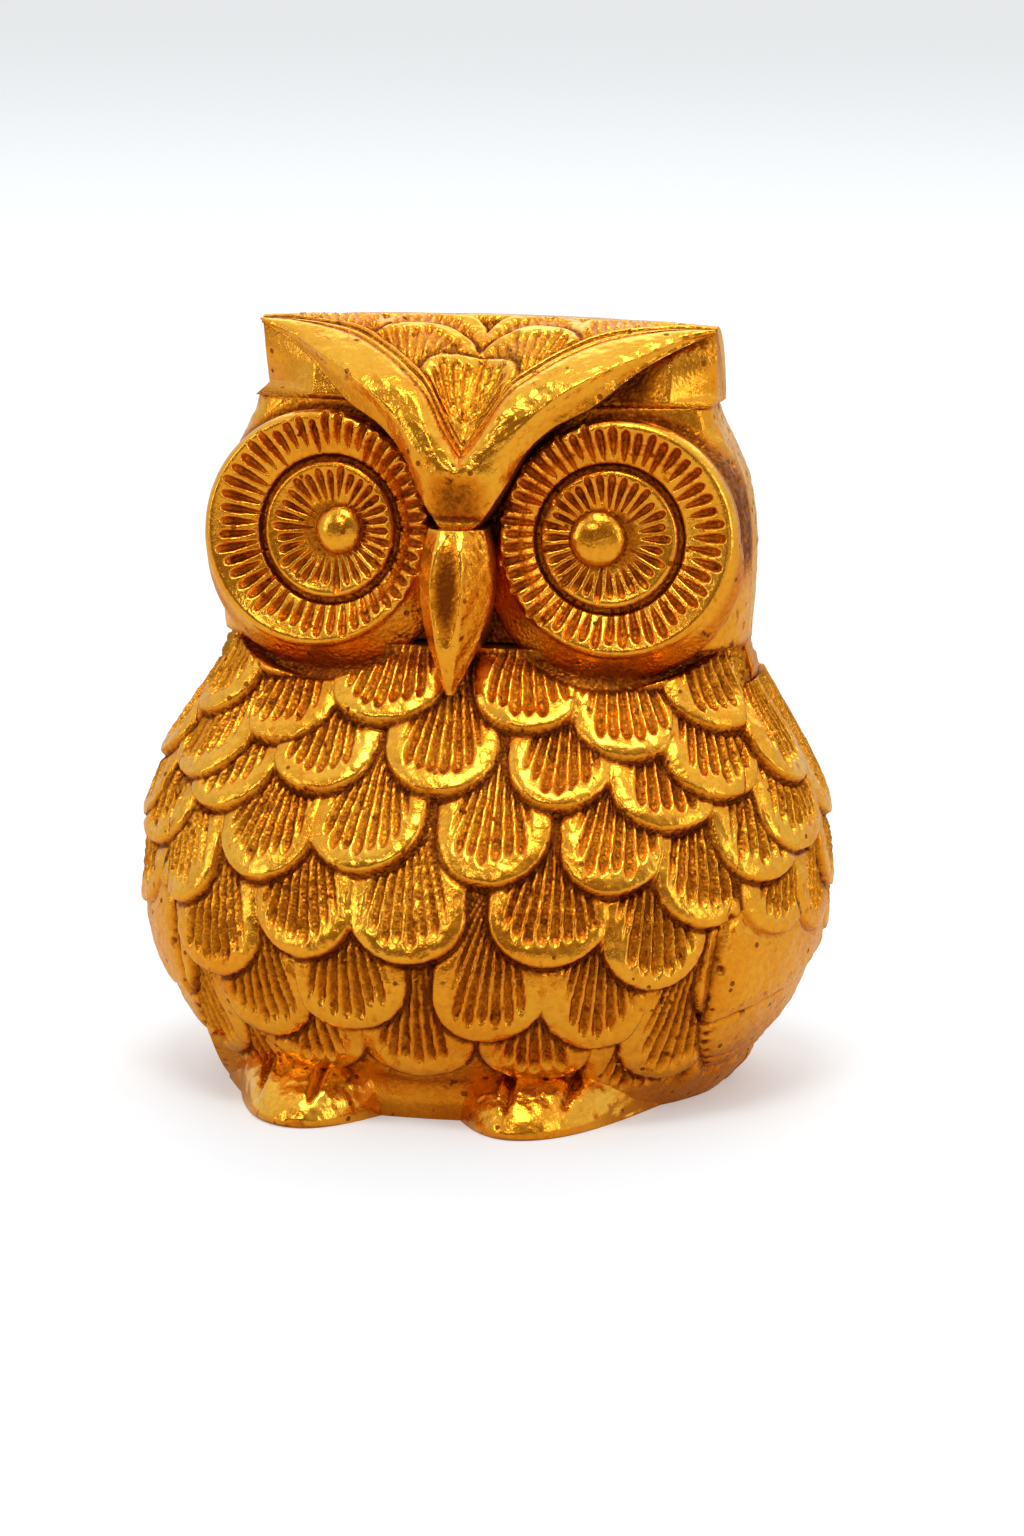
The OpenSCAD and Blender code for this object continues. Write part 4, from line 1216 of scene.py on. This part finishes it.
def build_foot(side):
    """A foot: a smooth domed pad with two cuts between its three toes."""
    name = "foot_left" if side > 0 else "foot_right"
    lo, hi = box_mm(name)
    mid = (lo[0] + hi[0]) / 2 - (0.6 if side > 0 else 2.5)
    half = (hi[0] - lo[0]) / 2 + (1.4 if side < 0 else 0.8)
    top = hi[2] + 0.2
    rise = 1 - (1 - joined((0, 1, 96))) ** 1.8
    across = np.sin(joined((-1, 1, 160)) * math.pi / 2)
    v, h = np.meshgrid(across, rise)
    z = top * h
    x = mid + half * v
    # Past the side of the belly the foot's back is held to the depth that it has at its edge.
    held = np.clip(x, lo[0] - 0.8, hi[0] + 0.8)
    belly = belly_at(held, z)
    dome = (1 - np.abs(v) ** 2.2) ** 1.1
    toe_y = lo[1] + 0.35 + 0.5 * v**2
    reach = np.maximum(0.2, belly_at(mid + 0 * h, 0 * z) - toe_y) * dome
    swell = (1 - h**1.75) ** (1 / 1.75) * (1 - 0.05 * np.clip(1 - h / 0.16, 0, 1) ** 2)
    y = np.minimum(belly + 0.7, belly_at(held, 0 * z) - reach * swell)
    base = np.stack([x, y, z], -1)
    cut, shade, fold = 0 * x, 0 * x, 0 * x
    for centre, lean in ((-0.30, 0.05), (0.34, -0.04)):
        d = (v - centre - lean * (1 - h)) * half
        live = step(h, 0.30, 0.62)
        cut = np.maximum(cut, np.clip(1 - np.abs(d) / (0.45 + 0.35 * live), 0, 1) * live)
        shade = np.maximum(shade, bell(d, 0.28) * live)
        fold = np.maximum(fold, np.clip(1 - np.abs(d - 1.3) / 1.1, 0, 1) * live)
    height = 0.22 * fold - 0.75 * cut + waviness(base)
    height = height * step(h, 0.0, 0.08) * (1 - step(np.abs(v), 0.93, 1.0))
    outer = base + grid_normals(base, (mid, -10, 2)) * height[..., None]
    outer[..., 1] = np.maximum(outer[..., 1], lo[1] + 0.02)
    outer[..., 2] = np.clip(outer[..., 2], 0, None)
    outer[0, :, 2] = 0
    inner = coarse(np.stack([x, belly + 2.2, z], -1))
    patina_and_shade = 0.06 + 0.85 * shade + 0.20 * step(h, 0.95, 1.0)
    add_piece(name + "_pad", name, "polished_brass",
              closed_shell(outer, inner, np.clip(patina_and_shade, 0, 1)))


def build_base_plate():
    """The base plate keeps its CAD shape and takes the plain brass."""
    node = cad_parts["base_plate"]
    node.data.materials.clear()
    node.data.materials.append(brass("plain_brass"))


# --- stage --------------------------------------------------------------------------------

# The camera: degrees round and above the owl, distance and height it looks at in millimetres.
CAMERA_TURN, CAMERA_RISE, CAMERA_AWAY, CAMERA_AIM = 13.8, 10.16, 680.0, OWL_H * 0.495
CAMERA_LENS, CAMERA_SHIFT = 141.0, (0.0193, -0.0423)
FLOOR_SIZE = 12
# Soft boxes: where each stands and its two sides in metres, and its power.
SOFT_BOXES = {
    "top_box": ((0.05, -0.30, 0.95), (0.34, 0.26), 2.7),
    "left_box": ((-0.85, -0.55, 0.45), (0.12, 0.7), 1.1),
    "right_box": ((0.95, -0.35, 0.40), (0.12, 0.7), 1.1),
    "front_strip": ((-0.25, -0.95, 0.75), (0.35, 0.09), 1.0),
    "low_strip": ((0.35, -0.95, 0.16), (0.5, 0.05), 0.15),
    "back_box": ((0.0, 0.9, 0.9), (1.6, 0.8), 4.5),
}


def build_floor():
    """A pale floor, dimmer and warmer in reflections than it looks."""
    bpy.ops.mesh.primitive_plane_add(size=FLOOR_SIZE, location=(0, 0, 0))
    floor = bpy.context.object
    floor.name = "floor"
    paint = bpy.data.materials.new("floor_paint")
    paint.use_nodes = True
    t = Tree(paint.node_tree)
    t.nodes.clear()
    pale = t.add("ShaderNodeBsdfPrincipled", Base_Color=(0.73, 0.77, 0.80, 1), Roughness=0.6,
                 Emission_Color=(1, 1, 1, 1), Emission_Strength=0.28)
    dimmed = t.add("ShaderNodeBsdfDiffuse", Color=(0.76, 0.63, 0.42, 1))
    glossy = t.add("ShaderNodeLightPath").outputs["Is Glossy Ray"]
    either = t.add("ShaderNodeMixShader", glossy, pale.outputs[0], dimmed.outputs[0])
    t.add("ShaderNodeOutputMaterial", either.outputs[0])
    floor.data.materials.append(paint)


def build_room():
    """A white room that shows bright behind and at the sides, dim and warm in front."""
    world = bpy.data.worlds.new("studio")
    bpy.context.scene.world = world
    world.use_nodes = True
    t = Tree(world.node_tree)
    t.nodes.clear()
    way = t.add("ShaderNodeSeparateXYZ", t.add("ShaderNodeTexCoord").outputs["Generated"]).outputs
    dim = t.ramp(t.math("MULTIPLY", way[1], -1.0), [
        (0.0, (1.0, 1.0, 1.0)), (0.30, (0.78, 0.73, 0.66)), (0.70, (0.42, 0.30, 0.18)),
        (1.0, (0.25, 0.14, 0.06))])
    high = t.ramp(way[2], [(0.0, (0.9, 0.9, 0.9)), (0.25, (0.72, 0.72, 0.72)), (0.8, (1, 1, 1))])
    rays = t.add("ShaderNodeLightPath").outputs
    softly = t.mix(rays["Is Diffuse Ray"], t.mix(1.0, dim, high, "MULTIPLY"), (0.60, 0.60, 0.60, 1))
    both = t.mix(rays["Is Camera Ray"], softly, (1, 1, 1, 1))
    sky = t.add("ShaderNodeBackground", Color=both, Strength=1.0)
    t.add("ShaderNodeOutputWorld", sky.outputs[0])


def build_lights():
    """Soft boxes all round, aimed at the owl's middle."""
    scene = bpy.context.scene
    for name, (at, size, power) in SOFT_BOXES.items():
        data = bpy.data.lights.new(name, "AREA")
        data.shape = "RECTANGLE"
        data.size, data.size_y = size
        data.energy = power * scene.owl_colours.light
        lamp = bpy.data.objects.new(name, data)
        lamp.location = at
        lamp.rotation_euler = direction(np.array([0, 0, 0.045]) - np.array(at))
        scene.collection.objects.link(lamp)


def build_camera():
    """The camera in front, a little to one side and above."""
    scene = bpy.context.scene
    turn, rise = math.radians(CAMERA_TURN), math.radians(CAMERA_RISE)
    back = np.array([math.sin(turn) * math.cos(rise), -math.cos(turn) * math.cos(rise), math.sin(rise)])
    data = bpy.data.cameras.new("camera")
    data.lens = CAMERA_LENS
    data.sensor_width = 36.0
    data.shift_x, data.shift_y = CAMERA_SHIFT
    data.dof.use_dof = False
    data.clip_start, data.clip_end = 0.05, 50
    camera = bpy.data.objects.new("camera", data)
    camera.location = np.array([0, 0, CAMERA_AIM]) * MM + back * CAMERA_AWAY * MM
    camera.rotation_euler = direction(-back)
    scene.collection.objects.link(camera)
    scene.camera = camera
    scene.view_settings.view_transform = "Standard"


def build_stage():
    """A pale floor, soft lights all round, and the camera in front."""
    build_floor()
    build_room()
    build_lights()
    build_camera()


def direction(aim):
    """Euler turn that points an object's -Z along aim, with its Y up."""
    x, y, z = aim / np.linalg.norm(aim)
    return (math.acos(max(-1.0, min(1.0, -z))), 0.0, math.atan2(-x, y))


# --- add-on -------------------------------------------------------------------------------

class OwlSizes(bpy.types.PropertyGroup):
    relief: bpy.props.FloatProperty(
        name="Feather relief", description="Height of the feathers as a share of the usual one",
        default=1.0, min=0.3, max=1.0, subtype="FACTOR")
    outer_gouges: bpy.props.IntProperty(
        name="Outer gouges", description="Gouges round the rim of each eye disc",
        default=48, min=24, max=72)
    inner_gouges: bpy.props.IntProperty(
        name="Inner gouges", description="Gouges round each iris disc", default=30, min=16, max=44)


class OwlColours(bpy.types.PropertyGroup):
    gold: bpy.props.FloatVectorProperty(
        name="Gold", description="Polished high points", subtype="COLOR", size=3,
        default=(0.91, 0.485, 0.05), min=0, max=1)
    amber: bpy.props.FloatVectorProperty(
        name="Amber", description="Half-worn surface between the high points and the recesses",
        subtype="COLOR", size=3, default=(0.70, 0.26, 0.014), min=0, max=1)
    # Recess colours the patina in the cuts, and the painted shade and painted dark reflections too.
    recess: bpy.props.FloatVectorProperty(
        name="Recess", description="Patina left in the cuts", subtype="COLOR", size=3,
        default=(0.20, 0.050, 0.0015), min=0, max=1)
    light: bpy.props.FloatProperty(
        name="Light", description="Strength of the studio lights", default=1.0, min=0.1, max=5)


class OWL_OT_body(bpy.types.Operator):
    """Build the front and back of the body"""
    bl_idname = "owl.body"
    bl_label = "Body shells"

    def execute(self, context):
        build_body_half(True)
        build_body_half(False)
        return {"FINISHED"}


class OWL_OT_head(bpy.types.Operator):
    """Build the front and back of the head"""
    bl_idname = "owl.head"
    bl_label = "Head shells"

    def execute(self, context):
        build_head_half(True)
        build_head_half(False)
        return {"FINISHED"}


class OWL_OT_wings(bpy.types.Operator):
    """Build both wings"""
    bl_idname = "owl.wings"
    bl_label = "Wings"

    def execute(self, context):
        build_wing(1)
        build_wing(-1)
        return {"FINISHED"}


class OWL_OT_tail(bpy.types.Operator):
    """Build the tail"""
    bl_idname = "owl.tail"
    bl_label = "Tail"

    def execute(self, context):
        build_tail()
        return {"FINISHED"}


class OWL_OT_crown(bpy.types.Operator):
    """Build the crown cap"""
    bl_idname = "owl.crown"
    bl_label = "Crown cap"

    def execute(self, context):
        build_crown_cap()
        return {"FINISHED"}


class OWL_OT_brow(bpy.types.Operator):
    """Build the brow"""
    bl_idname = "owl.brow"
    bl_label = "Brow"

    def execute(self, context):
        build_brow()
        return {"FINISHED"}


class OWL_OT_beak(bpy.types.Operator):
    """Build the beak"""
    bl_idname = "owl.beak"
    bl_label = "Beak"

    def execute(self, context):
        build_beak()
        return {"FINISHED"}


class OWL_OT_eyes(bpy.types.Operator):
    """Build the eye discs, the iris discs and the pupils"""
    bl_idname = "owl.eyes"
    bl_label = "Eyes"

    def execute(self, context):
        build_eyes()
        return {"FINISHED"}


class OWL_OT_feet(bpy.types.Operator):
    """Build both feet"""
    bl_idname = "owl.feet"
    bl_label = "Feet"

    def execute(self, context):
        build_foot(1)
        build_foot(-1)
        return {"FINISHED"}


class OWL_OT_base(bpy.types.Operator):
    """Finish the base plate"""
    bl_idname = "owl.base"
    bl_label = "Base plate"

    def execute(self, context):
        build_base_plate()
        return {"FINISHED"}


class OWL_OT_stage(bpy.types.Operator):
    """Build the floor, the lights and the camera"""
    bl_idname = "owl.stage"
    bl_label = "Stage"

    def execute(self, context):
        build_stage()
        return {"FINISHED"}


OPERATORS = (OWL_OT_body, OWL_OT_head, OWL_OT_wings, OWL_OT_tail, OWL_OT_crown, OWL_OT_brow,
             OWL_OT_beak, OWL_OT_eyes, OWL_OT_feet, OWL_OT_base, OWL_OT_stage)


class OWL_PT_panel(bpy.types.Panel):
    """Sizes, colours and the steps that build the owl"""
    bl_idname = "OWL_PT_panel"
    bl_label = "Owl figurine"
    bl_space_type = "VIEW_3D"
    bl_region_type = "UI"
    bl_category = "Owl"

    def draw(self, context):
        scene = context.scene
        for group in (scene.owl_sizes, scene.owl_colours):
            for name in group.__annotations__:
                self.layout.prop(group, name)
        for kind in OPERATORS:
            self.layout.operator(kind.bl_idname)


CLASSES = (OwlSizes, OwlColours, *OPERATORS, OWL_PT_panel)


def register():
    """Adds the classes, and the owl's sizes and colours to the scene."""
    for kind in CLASSES:
        bpy.utils.register_class(kind)
    bpy.types.Scene.owl_sizes = bpy.props.PointerProperty(type=OwlSizes)
    bpy.types.Scene.owl_colours = bpy.props.PointerProperty(type=OwlColours)


def unregister():
    """Takes away what register adds."""
    del bpy.types.Scene.owl_sizes
    del bpy.types.Scene.owl_colours
    for kind in reversed(CLASSES):
        bpy.utils.unregister_class(kind)


def main():
    """Builds every piece and the stage."""
    register()
    bpy.ops.owl.body()
    bpy.ops.owl.head()
    bpy.ops.owl.wings()
    bpy.ops.owl.tail()
    bpy.ops.owl.crown()
    bpy.ops.owl.brow()
    bpy.ops.owl.beak()
    bpy.ops.owl.eyes()
    bpy.ops.owl.feet()
    bpy.ops.owl.base()
    bpy.ops.owl.stage()


if __name__ == "__main__":
    main()
